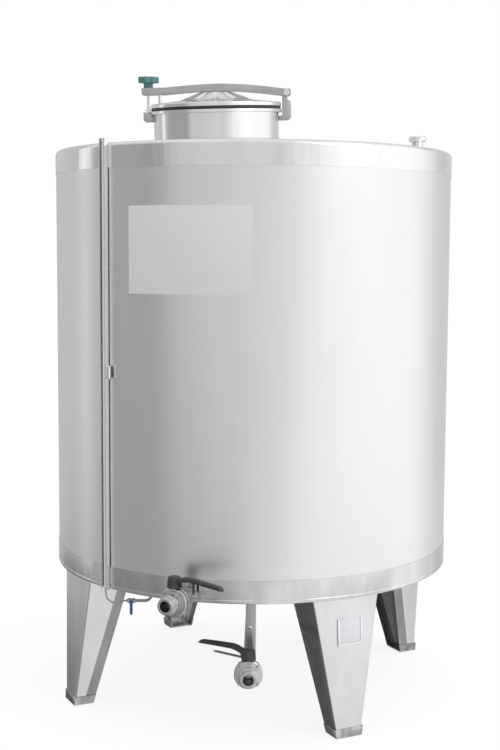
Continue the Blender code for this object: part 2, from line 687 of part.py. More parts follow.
# ---------------------------------------------------------------- vent
def vent(tank):
    low = vessel_roof_z(VENT_X) - VESSEL_WALL - 0.006
    top = roof_z(VENT_X) + VENT_HEIGHT
    tube("vent_pipe", VENT_R, VENT_WALL, low, top, tank, STEEL, FINE, place=(VENT_X, 0, 0))
    lift = frame_at("vent_cap_lift", tank, (VENT_X, 0, top))
    r, inner, high = VENT_CAP_R, VENT_R + RUN, VENT_CAP_TOP
    skirt = VENT_CAP_HEIGHT - high
    ease = VENT_CAP_ROUND
    profile = [
        (0, high), (r - ease, high), (r, high - ease), (r, -skirt), (inner, -skirt), (inner, GAP), (0, GAP),
    ]
    turned("vent_cap", profile, lift, BRIGHT, FINE)


# ---------------------------------------------------------------- legs
def channel_section(width, depth, face, wall=0.0, outset=0.0):
    """Corners of a channel open inwards, or of the block that it wraps where it has no wall."""
    x, y = width / 2 + outset, face + outset
    back = depth - face
    corners = [(-x, back), (-x, -y), (x, -y), (x, back)]
    if wall:
        corners += [(x - wall, back), (x - wall, -y + wall), (-x + wall, -y + wall), (-x + wall, back)]
    return corners


def leg_at(height):
    """Width, depth and face radius of a leg's outside at a height."""
    share = height / BOTTOM_Z
    return (
        LEG_FOOT_WIDTH + (LEG_TOP_WIDTH - LEG_FOOT_WIDTH) * share,
        LEG_FOOT_DEPTH + (LEG_TOP_DEPTH - LEG_FOOT_DEPTH) * share,
        LEG_FOOT_RADIUS + (LEG_TOP_RADIUS - LEG_FOOT_RADIUS) * share,
    )


def lofted(name, low, high, low_z, high_z, parent, finish=None):
    """A solid between two outlines that have as many corners each."""
    bm = bmesh.new()
    bottom = [bm.verts.new((x, y, low_z)) for x, y in low]
    top = [bm.verts.new((x, y, high_z)) for x, y in high]
    count = len(low)
    for i in range(count):
        j = (i + 1) % count
        bm.faces.new((bottom[i], bottom[j], top[j], top[i]))
    bm.faces.new(list(reversed(bottom)))
    bm.faces.new(top)
    bmesh.ops.recalc_face_normals(bm, faces=bm.faces)
    bmesh.ops.triangulate(bm, faces=bm.faces)
    return add_object(name, mesh_from(bm, name), parent, finish=finish)


def leg(tank, number):
    frame = frame_at(f"leg_{number}_frame", tank, turn=(0, 0, LEG_AZIMUTH + (number - 1) * pi / 2))
    low_z = SHOE_SOLE + GAP
    high_z = PLATE_Z - GAP - PAD_SHEET - GAP

    low = channel_section(*leg_at(low_z), wall=LEG_SHEET)
    high = channel_section(*leg_at(high_z), wall=LEG_SHEET)
    lofted(f"leg_{number}", low, high, low_z, high_z, frame, STEEL)

    width, depth, face = leg_at(high_z)
    margin = PAD_MARGIN
    pad_size = (width + 2 * margin, depth + 2 * margin, PAD_SHEET)
    pad_place = (0, -face + depth / 2, PLATE_Z - GAP - PAD_SHEET / 2)
    pad = block(f"leg_pad_{number}", pad_size, frame, STEEL, place=pad_place)
    corners = pad.modifiers.new("corners", "BEVEL")
    corners.affect = "EDGES"
    corners.width = margin
    corners.segments = 3
    corners.limit_method = "WEIGHT"
    mesh = pad.data
    weights = mesh.attributes.new("bevel_weight_edge", "FLOAT", "EDGE")
    for edge in mesh.edges:
        a, b = (mesh.vertices[v].co for v in edge.vertices)
        weights.data[edge.index].value = 1.0 if abs(a.z - b.z) > PAD_SHEET / 2 else 0.0

    outset = SHOE_WALL + GAP
    shoe_low = channel_section(*leg_at(0), outset=outset)
    shoe_high = channel_section(*leg_at(SHOE_HEIGHT), outset=outset)
    shoe = lofted(f"foot_shoe_{number}", shoe_low, shoe_high, 0, SHOE_HEIGHT, frame, STEEL)
    past = 0.02
    above = SHOE_HEIGHT + past

    def pocket_at(height):
        width, depth, face = leg_at(height)
        return channel_section(width, depth + past, face, outset=GAP)

    pocket = lofted(f"shoe_pocket_{number}", pocket_at(SHOE_SOLE), pocket_at(above), SHOE_SOLE, above, frame)
    cut(shoe, as_cutter(pocket))
    return frame


def leg_label(frame):
    """A blank plate in a small rail frame, on the face of the front leg."""
    lean = atan2(LEG_TOP_RADIUS - LEG_FOOT_RADIUS, BOTTOM_Z)
    face = leg_at(LABEL_Z)[2]
    spot = frame_at("label", frame, (LABEL_X, -face, LABEL_Z), (lean, 0, 0))
    back, rail = LABEL_BACK, LABEL_LIP
    size = (LABEL_WIDTH, back + rail, LABEL_HEIGHT)
    holder = block("label_holder", size, spot, STEEL, place=(0, -size[1] / 2 - GAP, 0))
    pocket_size = (LABEL_WIDTH - 2 * LABEL_RAIL, 2 * rail, LABEL_HEIGHT)
    pocket_y = -back - GAP - rail
    pocket = block("label_pocket", pocket_size, spot, place=(0, pocket_y, LABEL_RAIL))
    cut(holder, as_cutter(pocket))
    plate_size = (LABEL_WIDTH - 2 * LABEL_RAIL - 2 * GAP, LABEL_PLATE, LABEL_HEIGHT - LABEL_RAIL - 2 * GAP)
    place = (0, -back - 2 * GAP - LABEL_PLATE / 2, LABEL_RAIL / 2)
    block("label_plate", plate_size, spot, PLATE, place=place)


def sign_plate(tank):
    steps = 12
    bm = bmesh.new()
    rows = []
    for height in (SIGN_LOW, SIGN_HIGH):
        angles = (SIGN_FROM + (SIGN_TO - SIGN_FROM) * i / steps for i in range(steps + 1))
        rows.append([bm.verts.new(outward(angle, TANK_R + GAP, height)) for angle in angles])
    for i in range(steps):
        bm.faces.new((rows[0][i], rows[0][i + 1], rows[1][i + 1], rows[1][i]))
    item = add_object("sign_plate", mesh_from(bm, "sign_plate"), tank, finish=PLATE)
    shell = item.modifiers.new("sheet", "SOLIDIFY")
    shell.thickness = SIGN_PLATE
    shell.offset = 1.0


# ---------------------------------------------------------------- level gauge
def gauge(tank):
    frame = frame_at("gauge", tank, turn=(0, 0, GAUGE_AZIMUTH))
    back = BAND_R + GAP
    low, high = BOTTOM_Z + 0.001, RIM_Z + GAUGE_ABOVE
    tube_y = -back - GAUGE_SHEET - GAP - GAUGE_TUBE_R
    w, t = GAUGE_WIDTH / 2, GAUGE_SHEET
    outline = [
        (-w, -back), (-w, -back - GAUGE_DEPTH), (-w + t, -back - GAUGE_DEPTH), (-w + t, -back - t),
        (w - t, -back - t), (w - t, -back - GAUGE_DEPTH), (w, -back - GAUGE_DEPTH), (w, -back),
    ]
    lofted("gauge_channel", outline, outline, low, high, frame, STEEL)
    tube_low = low + 0.004
    place = (0, tube_y, 0)
    tube_high = high - 0.006
    tube("gauge_tube", GAUGE_TUBE_R, GAUGE_TUBE_WALL, tube_low, tube_high, frame, CLEAR, SMALL, place=place)
    clip = (GAUGE_CLIP_WIDTH, GAUGE_CLIP_DEPTH, GAUGE_CLIP_HEIGHT)
    clip_place = (w + GAP + clip[0] / 2, -back - GAUGE_DEPTH + clip[1] / 2, GAUGE_CLIP_Z)
    block("gauge_clip", clip, frame, STEEL, place=clip_place)
    return tube_y, tube_low


def gauge_cock(tank, tube_y, tube_low):
    """The hose from the gauge's foot, a small cock with a hanging lever, and a nipple into the vessel."""
    start = outward(GAUGE_AZIMUTH, -tube_y, tube_low - GAP)
    centre = Vector((COCK_X, COCK_Y, COCK_Z))
    left = centre - Vector((COCK_LENGTH / 2 + GAP, 0, 0))
    sag = (start + left) / 2 + Vector((0, 0, -0.030))
    controls = [
        start - Vector((0, 0, 0.016)), start + Vector((0.006, 0, -0.036)), sag,
        left - Vector((0.020, 0, 0.002)), left - Vector((0.006, 0, 0)),
    ]
    solid_run("gauge_hose", [start, *smooth_points(controls, 6), left], HOSE_R, tank, CLEAR)

    level = (0, pi / 2, 0)
    body = rod("gauge_cock_body", COCK_R, COCK_LENGTH, tank, BRIGHT, place=centre, turn=level)
    stem_place = centre - Vector((0, COCK_STEM / 2, 0))
    stem = rod("cock_stem", COCK_STEM_R, COCK_STEM, tank, place=stem_place, turn=(pi / 2, 0, 0))
    cut(body, as_cutter(stem), operation="UNION")

    pivot = frame_at("cock_turn", tank, centre - Vector((0, COCK_STEM + GAP, 0)))
    half, tip = LEVER_WIDTH / 2, -LEVER_LENGTH + LEVER_WIDTH / 2
    outline = [*arc((0, 0), half, 0, pi, 6), *arc((0, tip), half, pi, 2 * pi, 6)]
    lever_place = (0, -LEVER_SHEET / 2, 0)
    plate("gauge_cock_lever", outline, LEVER_SHEET, pivot, BLUE, place=lever_place, turn=(pi / 2, 0, 0))

    right = centre + Vector((COCK_LENGTH / 2 + GAP, 0, 0))
    top = vessel_floor_z(Vector((COCK_X, COCK_Y)).length - 0.03) + VESSEL_WALL
    corner = right + Vector((NIPPLE_OUT, 0, 0))
    run = [right, *elbow(corner, (1, 0, 0), (0, 0, 1), NIPPLE_BEND), Vector((corner.x, corner.y, top))]
    hollow_run("gauge_nipple", run, NIPPLE_R, NIPPLE_WALL, tank, STEEL, 2)
    return corner


def smooth_points(controls, each):
    """Points of a Catmull-Rom curve through the controls."""
    padded = [2 * controls[0] - controls[1], *controls, 2 * controls[-1] - controls[-2]]
    points = []
    for a, b, c, d in zip(padded, padded[1:], padded[2:], padded[3:]):
        for i in range(each):
            t = i / each
            bend = (2 * a - 5 * b + 4 * c - d) * t ** 2 + (3 * b - a - 3 * c + d) * t ** 3
            points.append(0.5 * (2 * b + (c - a) * t + bend))
    return [*points, controls[-1]]


# ---------------------------------------------------------------- butterfly valves
def butterfly_valve(name, tank, place, azimuth, handle_angle):
    """Two bolted halves round a seal, a disc on an upright stem, and a lever with a squeeze trigger.

    Local -Y runs out through the nozzle.
    """
    frame = frame_at(f"{name}_valve", tank, place, (0, 0, azimuth))
    out = (pi / 2, 0, 0)
    half, seal = VALVE_BODY / 2, SEAL_THICKNESS / 2
    bore, body = VALVE_BORE_R, VALVE_BODY_R
    tail = half + VALVE_TAIL

    pitch, root = THREAD_PITCH, NOZZLE_R - THREAD_DEPTH
    nozzle = []
    first = NOZZLE_LENGTH - 0.004
    for i in range(THREADS):
        z = first - i * pitch
        nozzle += [(NOZZLE_R, z), (NOZZLE_R, z - pitch * 0.45)]
        nozzle += [(root, z - pitch * 0.6), (root, z - pitch * 0.9)]
    collar_top = first - THREADS * pitch - 0.002
    front_profile = [
        (bore, NOZZLE_LENGTH), (NOZZLE_R - 0.003, NOZZLE_LENGTH), *nozzle, (NOZZLE_COLLAR_R, collar_top),
        (NOZZLE_COLLAR_R, half + 0.008), (body - 0.006, half), (body, half - 0.003), (body, seal + GAP),
        (bore, seal + GAP),
    ]
    turned(f"{name}_valve_front", front_profile, frame, BRIGHT, FINE, turn=out)
    rear_profile = [
        (bore, -seal - GAP), (body, -seal - GAP), (body, -half + 0.003), (body - 0.006, -half),
        (PIPE_R + 0.006, -half - 0.008), (PIPE_R, -half - 0.014), (PIPE_R, -tail), (bore, -tail),
    ]
    turned(f"{name}_valve_rear", rear_profile, frame, BRIGHT, FINE, turn=out)
    ring = tube(f"{name}_seal", body - 0.002, body - 0.002 - bore, -seal, seal, frame, RUBBER, FINE, turn=out)
    stem_hole = STEM_R + RUN
    hole_top = body + 0.01
    clear = rod(f"{name}_stem_hole", stem_hole, hole_top, frame, place=(0, 0, hole_top / 2 + bore / 2))
    foot_hole = rod(f"{name}_foot_hole", STEM_R / 2 + RUN, 0.010, frame, place=(0, 0, -bore - 0.004))
    for item in (ring, bpy.data.objects[f"{name}_valve_front"], bpy.data.objects[f"{name}_valve_rear"]):
        cut(item, as_cutter(clear), as_cutter(foot_hole))

    pivot = frame_at(f"{name}_valve_turn", frame)
    disc = rod(f"{name}_disc", bore - 2 * RUN, 0.005, pivot, BRIGHT, turn=out, steps=FINE)
    stem_top = HUB_TOP - 0.008
    stem_low = bore - 0.003
    stem_place = (0, 0, (stem_top + stem_low) / 2)
    stem = rod(f"{name}_stem", STEM_R, stem_top - stem_low, pivot, place=stem_place)
    foot_pin = rod(f"{name}_foot_pin", STEM_R / 2, 0.009, pivot, place=(0, 0, -bore - 0.0015))
    cut(disc, as_cutter(stem), as_cutter(foot_pin), operation="UNION")

    lever_frame = frame_at(f"{name}_lever", pivot, turn=(0, 0, handle_angle - pi / 2))
    handle(name, lever_frame)
    return frame, tail


def handle(name, lever):
    """The hub on the stem and a lever along local +X; the trigger strip pivots beside the hub."""
    base = VALVE_BODY_R + GAP
    rise = ((0.006, 0.016), (0.016, 0.013), (0.028, 0.008), (0.040, 0.004), (0.060, 0.0005))
    end_z = HUB_TOP - HANDLE_DROP
    top = [*((x, HUB_TOP - drop) for x, drop in rise), (HANDLE_LENGTH, end_z)]
    thin = HANDLE_THICKNESS / 2
    over = [(x, z + thin) for x, z in top]
    under = [(x, z - thin * (0.75 if x == HANDLE_LENGTH else 1)) for x, z in reversed(top)]
    grip = plate(f"{name}_handle", over + under, HANDLE_WIDTH, lever, BLACK, turn=(pi / 2, 0, 0))
    hub_height = HUB_TOP - base
    hub = rod(f"{name}_hub", HUB_R, hub_height, lever, place=(0, 0, base + hub_height / 2), steps=FINE)
    cut(grip, as_cutter(hub), operation="UNION")
    socket_top = HUB_TOP - 0.008 + GAP
    socket = rod(f"{name}_socket", STEM_R + GAP, socket_top, lever, place=(0, 0, socket_top / 2))
    cut(grip, as_cutter(socket))

    trigger_x = HUB_R + 0.006
    pivot = frame_at(f"{name}_trigger_turn", lever, (trigger_x, 0, TRIGGER_Z))
    length = TRIGGER_LENGTH
    size = (length, TRIGGER_WIDTH, TRIGGER_SHEET)
    block(f"{name}_trigger", size, pivot, STEEL, place=(length / 2 - 0.004, 0, 0))
    ear_low = TRIGGER_Z + TRIGGER_SHEET / 2 + GAP
    ear_size = (0.006, 0.006, HUB_TOP - 0.008 - ear_low)
    ear_place = (trigger_x - ear_size[0] / 2, 0, ear_low + ear_size[2] / 2)
    ear = block(f"{name}_trigger_ear", ear_size, lever, place=ear_place)
    cut(grip, as_cutter(ear), operation="UNION")


def outlet(tank):
    place = (OUTLET_X, OUTLET_Y, OUTLET_Z)
    frame, tail = butterfly_valve("outlet", tank, place, OUTLET_AZIMUTH, OUTLET_HANDLE)
    corner_y = OUTLET_RUN + BEND_R
    corner = frame_point(frame, (0, corner_y, 0))
    top = vessel_floor_z(Vector((corner.x, corner.y)).length) + VESSEL_WALL - OUTLET_Z
    run = [(0, tail + GAP, 0), *elbow((0, corner_y, 0), (0, 1, 0), (0, 0, 1), BEND_R), (0, corner_y, top)]
    hollow_run("outlet_pipe", run, PIPE_R, PIPE_WALL, frame, STEEL)
    past = (0, corner_y, top + 0.02)
    return as_cutter(solid_run("outlet_way", [*run[:-1], past], PIPE_R + GAP, frame))


def drain(tank):
    place = (DRAIN_X, DRAIN_Y, DRAIN_Z)
    frame, tail = butterfly_valve("drain", tank, place, atan2(DRAIN_X, -DRAIN_Y), DRAIN_HANDLE)
    top = vessel_floor_z(0) + VESSEL_WALL - DRAIN_Z
    corner_y = hypot(DRAIN_X, DRAIN_Y)
    corner = (0, corner_y, 0)
    run = [(0, tail + GAP, 0), *elbow(corner, (0, 1, 0), (0, 0, 1), BEND_R), (0, corner_y, top)]
    low, high = STRAP_LOW, PLATE_Z - GAP - DRAIN_Z
    strap_place = (STRAP_X, STRAP_BEHIND, (low + high) / 2)
    strap = block("drain_strap", (STRAP_WIDTH, STRAP_SHEET, high - low), frame, place=strap_place)
    hollow_run("drain_pipe", run, PIPE_R, PIPE_WALL, frame, STEEL, welded=[as_cutter(strap)])
    past = (0, corner_y, top + 0.02)
    return as_cutter(solid_run("drain_way", [run[-2], past], PIPE_R + GAP, frame))


def frame_point(frame, point):
    bpy.context.view_layer.update()
    return frame.matrix_world @ Vector(point)


# ---------------------------------------------------------------- the whole tank
def stand_over_origin(tank):
    """Centres the tank's outer box over the origin."""
    bpy.context.view_layer.update()
    depsgraph = bpy.context.evaluated_depsgraph_get()
    low, high = Vector((1e9, 1e9)), Vector((-1e9, -1e9))
    for item in PARTS.objects:
        if item.type != "MESH":
            continue
        seen = item.evaluated_get(depsgraph)
        for vertex in seen.data.vertices:
            point = (seen.matrix_world @ vertex.co).xy
            low = Vector(map(min, low, point))
            high = Vector(map(max, high, point))
    tank.location = (-(low.x + high.x) / 2, -(low.y + high.y) / 2, 0)


def build():
    tank = frame_at("tank", None)
    shell, roof, base = tank_shells(tank)
    wall_foam, roof_foam, floor_foam = tank_insulation(tank)
    vessel = milk_vessel(tank)

    manway = manway_frame(tank)
    manway_neck(manway)
    hinge_bracket(manway)
    clamp_lug(manway)
    clamp(lid_and_arm(manway))
    vent(tank)
    frames = [leg(tank, number) for number in range(1, 5)]
    leg_label(frames[0])
    sign_plate(tank)
    corner = gauge_cock(tank, *gauge(tank))

    neck_hole = as_cutter(rod("neck_hole", MANWAY_R + GAP, 0.4, manway, steps=ROUND))
    vent_hole = as_cutter(rod("vent_hole", VENT_R + GAP, 0.3, tank, place=(VENT_X, 0, RIM_Z), steps=FINE))
    nipple_place = (corner.x, corner.y, PLATE_Z + 0.05)
    nipple_hole = as_cutter(rod("nipple_hole", NIPPLE_R + GAP, 0.2, tank, place=nipple_place))
    outlet_way = outlet(tank)
    drain_way = drain(tank)
    for item in (roof, roof_foam):
        cut(item, neck_hole, vent_hole)
    cut(vessel, neck_hole, vent_hole, nipple_hole, outlet_way, drain_way)
    cut(shell, outlet_way)
    for item in (base, floor_foam):
        cut(item, nipple_hole, outlet_way, drain_way)
    stand_over_origin(tank)


clear_scene()
PARTS = collection("bulk_milk_tank")
GUIDES = collection("cutters_and_frames")
build()
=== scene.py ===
# %% [markdown]
# # A bulk milk tank
# A bulk milk tank is an insulated steel drum on four folded legs, with a manway on its roof and
# milk valves under it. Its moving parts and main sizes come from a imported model. This script keeps
# those places and gives every visible piece its rounded edges, seams, threads and finish.

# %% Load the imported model
import json
from math import atan2, cos, pi, radians, sin, sqrt, tan

import bmesh
import bpy
from mathutils import Matrix, Vector

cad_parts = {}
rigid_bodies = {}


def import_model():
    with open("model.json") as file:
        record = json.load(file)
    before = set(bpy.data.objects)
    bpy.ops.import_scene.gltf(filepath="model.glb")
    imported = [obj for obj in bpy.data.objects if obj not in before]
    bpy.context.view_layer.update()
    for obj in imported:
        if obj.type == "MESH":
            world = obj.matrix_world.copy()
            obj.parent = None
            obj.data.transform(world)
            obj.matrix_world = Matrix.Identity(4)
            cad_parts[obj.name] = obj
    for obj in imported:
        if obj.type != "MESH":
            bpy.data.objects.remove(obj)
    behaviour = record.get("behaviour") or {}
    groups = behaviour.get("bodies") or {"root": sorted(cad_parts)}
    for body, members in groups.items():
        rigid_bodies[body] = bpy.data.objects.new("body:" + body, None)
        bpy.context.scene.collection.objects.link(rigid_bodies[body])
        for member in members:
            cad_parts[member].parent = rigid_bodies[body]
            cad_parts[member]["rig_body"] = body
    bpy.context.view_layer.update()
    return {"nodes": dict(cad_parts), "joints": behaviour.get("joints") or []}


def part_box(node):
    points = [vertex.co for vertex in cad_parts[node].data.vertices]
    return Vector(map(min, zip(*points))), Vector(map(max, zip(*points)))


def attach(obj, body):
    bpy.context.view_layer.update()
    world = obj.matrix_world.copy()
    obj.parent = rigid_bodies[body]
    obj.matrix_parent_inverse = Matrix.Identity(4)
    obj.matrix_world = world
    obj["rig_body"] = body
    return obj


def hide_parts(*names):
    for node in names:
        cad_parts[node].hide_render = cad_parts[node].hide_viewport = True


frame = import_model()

JOINTS = {joint["name"]: joint for joint in frame["joints"]}

# %% [markdown]
# ## The places that everything is measured from
# The tank's axis is the middle of its wall sheet. A radial frame's local -Y points out of the tank
# at its azimuth, counted from the front towards +X. The manway leans a little, so it gets a frame
# of its own, found from the hinge pin. The alternative, typing world positions, would break as
# soon as the model changed.

# %% Frames and driving sizes
SHELL_LOW, SHELL_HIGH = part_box("outer_shell")
TANK_R = (SHELL_HIGH.x - SHELL_LOW.x) / 2
AXIS = Vector(((SHELL_LOW.x + SHELL_HIGH.x) / 2, (SHELL_LOW.y + SHELL_HIGH.y) / 2, 0))
TANK = Matrix.Translation(AXIS)
SHEET = 0.0015
GAP = 0.0003
BAND_R = TANK_R + GAP + SHEET
BOTTOM_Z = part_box("base_cover")[0].z
ROOF_SLOPE = radians(5)


def radial(azimuth):
    """A frame on the tank's axis whose local -Y points out at an azimuth."""
    return TANK @ Matrix.Rotation(azimuth, 4, "Z")


def outward(azimuth, radius, height=0.0):
    return Vector((radius * sin(azimuth), -radius * cos(azimuth), height))


def basis(x_axis, y_axis, z_axis, place):
    turned_to = Matrix((x_axis, y_axis, z_axis)).transposed().to_4x4()
    return Matrix.Translation(place) @ turned_to


HINGE_X, HINGE_Z = 0.2245, 0.1413     # the hinge pin, in the manway's frame
MANWAY_TILT, TILTS_TO = radians(4.73), radians(-21.4)
MANWAY_UP = outward(TILTS_TO, sin(MANWAY_TILT), cos(MANWAY_TILT))
MANWAY_X = (Vector((1, 0, 0)) - MANWAY_UP * MANWAY_UP.x).normalized()
pin_place = Vector(JOINTS["lid_hinge"]["pos_m"])
manway_place = pin_place - MANWAY_X * HINGE_X - MANWAY_UP * HINGE_Z
MANWAY = basis(MANWAY_X, MANWAY_UP.cross(MANWAY_X), MANWAY_UP, manway_place)
OUT = Matrix.Rotation(pi / 2, 4, "X")  # turns local Z to point out along -Y
print("tank radius", round(TANK_R, 4), "manway at", [round(v, 4) for v in manway_place])

# %% [markdown]
# ## Making meshes
# Most of a tank is turned, folded or cut from plate. One helper rounds the corners of an outline,
# and the others turn it, push it to a thickness, loft it or sweep it. Every helper returns a bmesh
# in the piece's own frame; `piece` bakes the place into the mesh, so each object stays at the
# origin and patterns on Object coordinates never slide.

# %% Outlines
MERGE = 0.000002
CREASE = radians(32)
NEARLY_STRAIGHT = 0.02        # a corner that turns less than twice this stays a plain point
LONGEST_REACH = 0.49          # share of an edge that one rounded corner may use up


def round_angles(count):
    """Even angles once round a circle."""
    return [2 * pi * i / count for i in range(count)]


def arc(centre, radius, start, end, count):
    steps = (start + (end - start) * i / (count - 1) for i in range(count))
    return [(centre[0] + radius * cos(a), centre[1] + radius * sin(a)) for a in steps]


def rounded(outline, radius=0.0, steps=5, closed=True):
    """An outline of (x, y) or (x, y, corner radius) points, with its corners as arcs."""
    made = []
    count = len(outline)
    for i, point in enumerate(outline):
        here = Vector(point[:2])
        size = point[2] if len(point) > 2 else radius
        if size <= 0 or (not closed and i in (0, count - 1)):
            made.append(tuple(here))
            continue
        before = Vector(outline[i - 1][:2]) - here
        after = Vector(outline[(i + 1) % count][:2]) - here
        half = before.angle(after) / 2
        reach = min(size / tan(half), before.length * LONGEST_REACH, after.length * LONGEST_REACH)
        size = reach * tan(half)
        if pi / 2 - half < NEARLY_STRAIGHT:
            made.append(tuple(here))
            continue
        start = here + before.normalized() * reach
        end = here + after.normalized() * reach
        middle = here + (before.normalized() + after.normalized()).normalized() * size / sin(half)
        first, last = start - middle, end - middle
        swing = first.angle_signed(last)
        for step in range(steps + 1):
            turn = Matrix.Rotation(-swing * step / steps, 2)
            made.append(tuple(middle + turn @ first))
    return made


# %% Turned, pushed, lofted and swept shapes
def ringed(rings, closed_rings=True, closed_ends=False):
    """A bmesh through rings of points with as many points each."""
    bm = bmesh.new()
    rows = [[bm.verts.new(point) for point in ring] for ring in rings]
    count = len(rows[0])
    pairs = list(zip(rows, rows[1:]))
    if closed_ends:
        pairs.append((rows[-1], rows[0]))
    for low, high in pairs:
        for i in range(count if closed_rings else count - 1):
            j = (i + 1) % count
            bm.faces.new((low[i], low[j], high[j], high[i]))
    if not closed_ends and closed_rings:
        bm.faces.new(list(reversed(rows[0])))
        bm.faces.new(rows[-1])
    return bm


def spun(profile, angle):
    """A profile of (radius, height) stood up in the plane at an angle about Z."""
    return [(r * cos(angle), r * sin(angle), z) for r, z in profile]


def turned(profile, steps=96):
    """A closed profile of (radius, height), or one that starts and ends on the axis, turned round Z."""
    rings = [spun(profile, angle) for angle in round_angles(steps)]
    on_axis = profile[0][0] == 0 and profile[-1][0] == 0
    return ringed(rings, closed_rings=not on_axis, closed_ends=True)


def slab(outline, thickness, edge=0.0006):
    """An outline in local XY, pushed to a thickness round its own plane, with its edges eased."""
    half = thickness / 2
    bm = ringed([[(x, y, z) for x, y in outline] for z in (-half, half)])
    bmesh.ops.recalc_face_normals(bm, faces=bm.faces)
    if edge:
        caps = [e for f in bm.faces if len(f.verts) == len(outline) for e in f.edges]
        bmesh.ops.bevel(bm, geom=list(set(caps)), offset=edge, segments=2, affect="EDGES", profile=0.5)
    return bm


def lofted(low, high, low_z, high_z):
    return ringed([[(x, y, z) for x, y in ring] for ring, z in ((low, low_z), (high, high_z))])


def swept(path, radius, sides=24, wall=0.0):
    """A round bar, or a pipe with a wall, along points; each ring is carried on from the last."""
    points = [Vector(p) for p in path]
    heads = [(b - a).normalized() for a, b in zip(points, points[1:])]
    heads = [heads[0], *((a + b).normalized() for a, b in zip(heads, heads[1:])), heads[-1]]
    side = heads[0].orthogonal().normalized()
    outer, inner = [], []
    for point, head in zip(points, heads):
        side = (side - head * side.dot(head)).normalized()
        other = head.cross(side)
        for rings, size in ((outer, radius), (inner, radius - wall)):
            turns = round_angles(sides)
            rings.append([point + side * size * cos(a) + other * size * sin(a) for a in turns])
    if wall:
        return ringed(outer + inner[::-1], closed_ends=True)
    return ringed(outer)


def smooth_path(controls, each=8):
    """Points of a Catmull-Rom curve through the controls."""
    controls = [Vector(p) for p in controls]
    padded = [2 * controls[0] - controls[1], *controls, 2 * controls[-1] - controls[-2]]
    points = []
    for a, b, c, d in zip(padded, padded[1:], padded[2:], padded[3:]):
        for i in range(each):
            t = i / each
            bend = (2 * a - 5 * b + 4 * c - d) * t ** 2 + (3 * b - a - 3 * c + d) * t ** 3
            points.append(0.5 * (2 * b + (c - a) * t + bend))
    return [*points, controls[-1]]


def elbow(corner, arrive, leave, radius, count=12):
    """Points of a rounded right-angled corner between two straight runs."""
    corner, arrive, leave = Vector(corner), Vector(arrive), Vector(leave)
    centre = corner - arrive * radius + leave * radius
    turns = (pi / 2 * i / (count - 1) for i in range(count))
    return [centre + arrive * radius * sin(a) - leave * radius * cos(a) for a in turns]


# %% [markdown]
# ## Turning meshes into pieces
# A finished piece is one clean mesh: doubles merged, faces outwards, smooth except at its creases.
# Each piece then rides on a body of the imported model, takes its finish and stands
# for the plain solids that it replaces.

# %% Pieces
FLAT = radians(0.6)           # facets that turn less than this are one flat face
EASED_FROM = radians(30)      # only edges sharper than this get a bevel


def tidy(bm, place=Matrix.Identity(4)):
    bmesh.ops.remove_doubles(bm, verts=bm.verts, dist=MERGE)
    bmesh.ops.recalc_face_normals(bm, faces=bm.faces)
    bm.transform(place)
    return bm


def add_object(name, bm):
    mesh = bpy.data.meshes.new(name)
    bm.to_mesh(mesh)
    bm.free()
    made = bpy.data.objects.new(name, mesh)
    bpy.context.scene.collection.objects.link(made)
    return made


def baked(item):
    """The object with its modifiers taken into its mesh."""
    seen = item.evaluated_get(bpy.context.evaluated_depsgraph_get())
    item.data = bpy.data.meshes.new_from_object(seen)
    item.modifiers.clear()
    return item


def combined(item, others, operation):
    """A Boolean with other objects, which are used up."""
    for other in others:
        step = item.modifiers.new(other.name, "BOOLEAN")
        step.operation = operation
        step.solver = "EXACT"
        step.object = other
    baked(item)
    for other in others:
        bpy.data.objects.remove(other, do_unlink=True)
    return item


def hand_over(item, finish, slot, body, *nodes):
    item.data.materials.clear()
    item.data.materials.append(finish)
    item.data.shade_smooth()
    item.data.set_sharp_from_angle(angle=CREASE)
    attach(item, body)
    if nodes:
        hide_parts(*nodes)
    return item


def piece(name, bm, place, finish, slot, body, *nodes):
    return hand_over(add_object(name, tidy(bm, place)), finish, slot, body, *nodes)


def softened(solid, width, finish, slot, name, segments=2):
    """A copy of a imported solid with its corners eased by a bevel."""
    source = frame["nodes"][solid]
    bm = bmesh.new()
    bm.from_mesh(source.data)
    bmesh.ops.remove_doubles(bm, verts=bm.verts, dist=MERGE)
    bmesh.ops.dissolve_limit(bm, angle_limit=FLAT, verts=bm.verts, edges=bm.edges)
    copy = add_object(name, bm)
    ease = copy.modifiers.new("ease", "BEVEL")
    ease.width = width
    ease.segments = segments
    ease.limit_method = "ANGLE"
    ease.angle_limit = EASED_FROM
    ease.use_clamp_overlap = True
    return hand_over(baked(copy), finish, slot, source["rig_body"], solid)

# %% [markdown]
# ## The finishes
# Stainless sheet is one metal with many surfaces. Ground sheet has fine level lines that blur a
# reflection; the bright skirts have a mirror that is slightly wavy, so a reflection breaks into
# upright streaks. Both are made from noise that is stretched along the grain, feeding roughness
# and a very small bump. A picture texture would need UVs and would repeat; noise does neither.

# %% Material helpers
def new_material(name, colour, roughness, metallic=0.0, **sockets):
    made = bpy.data.materials.new(name)
    made.use_nodes = True
    shader = made.node_tree.nodes["Principled BSDF"]
    shader.inputs["Base Color"].default_value = (*colour, 1)
    shader.inputs["Roughness"].default_value = roughness
    shader.inputs["Metallic"].default_value = metallic
    for socket, value in sockets.items():
        shader.inputs[socket.replace("_", " ")].default_value = value
    return made, made.node_tree, shader


def node(tree, kind, **settings):
    made = tree.nodes.new(kind)
    for key, value in settings.items():
        if hasattr(made, key):
            setattr(made, key, value)
        else:
            made.inputs[key.replace("_", " ")].default_value = value
    return made


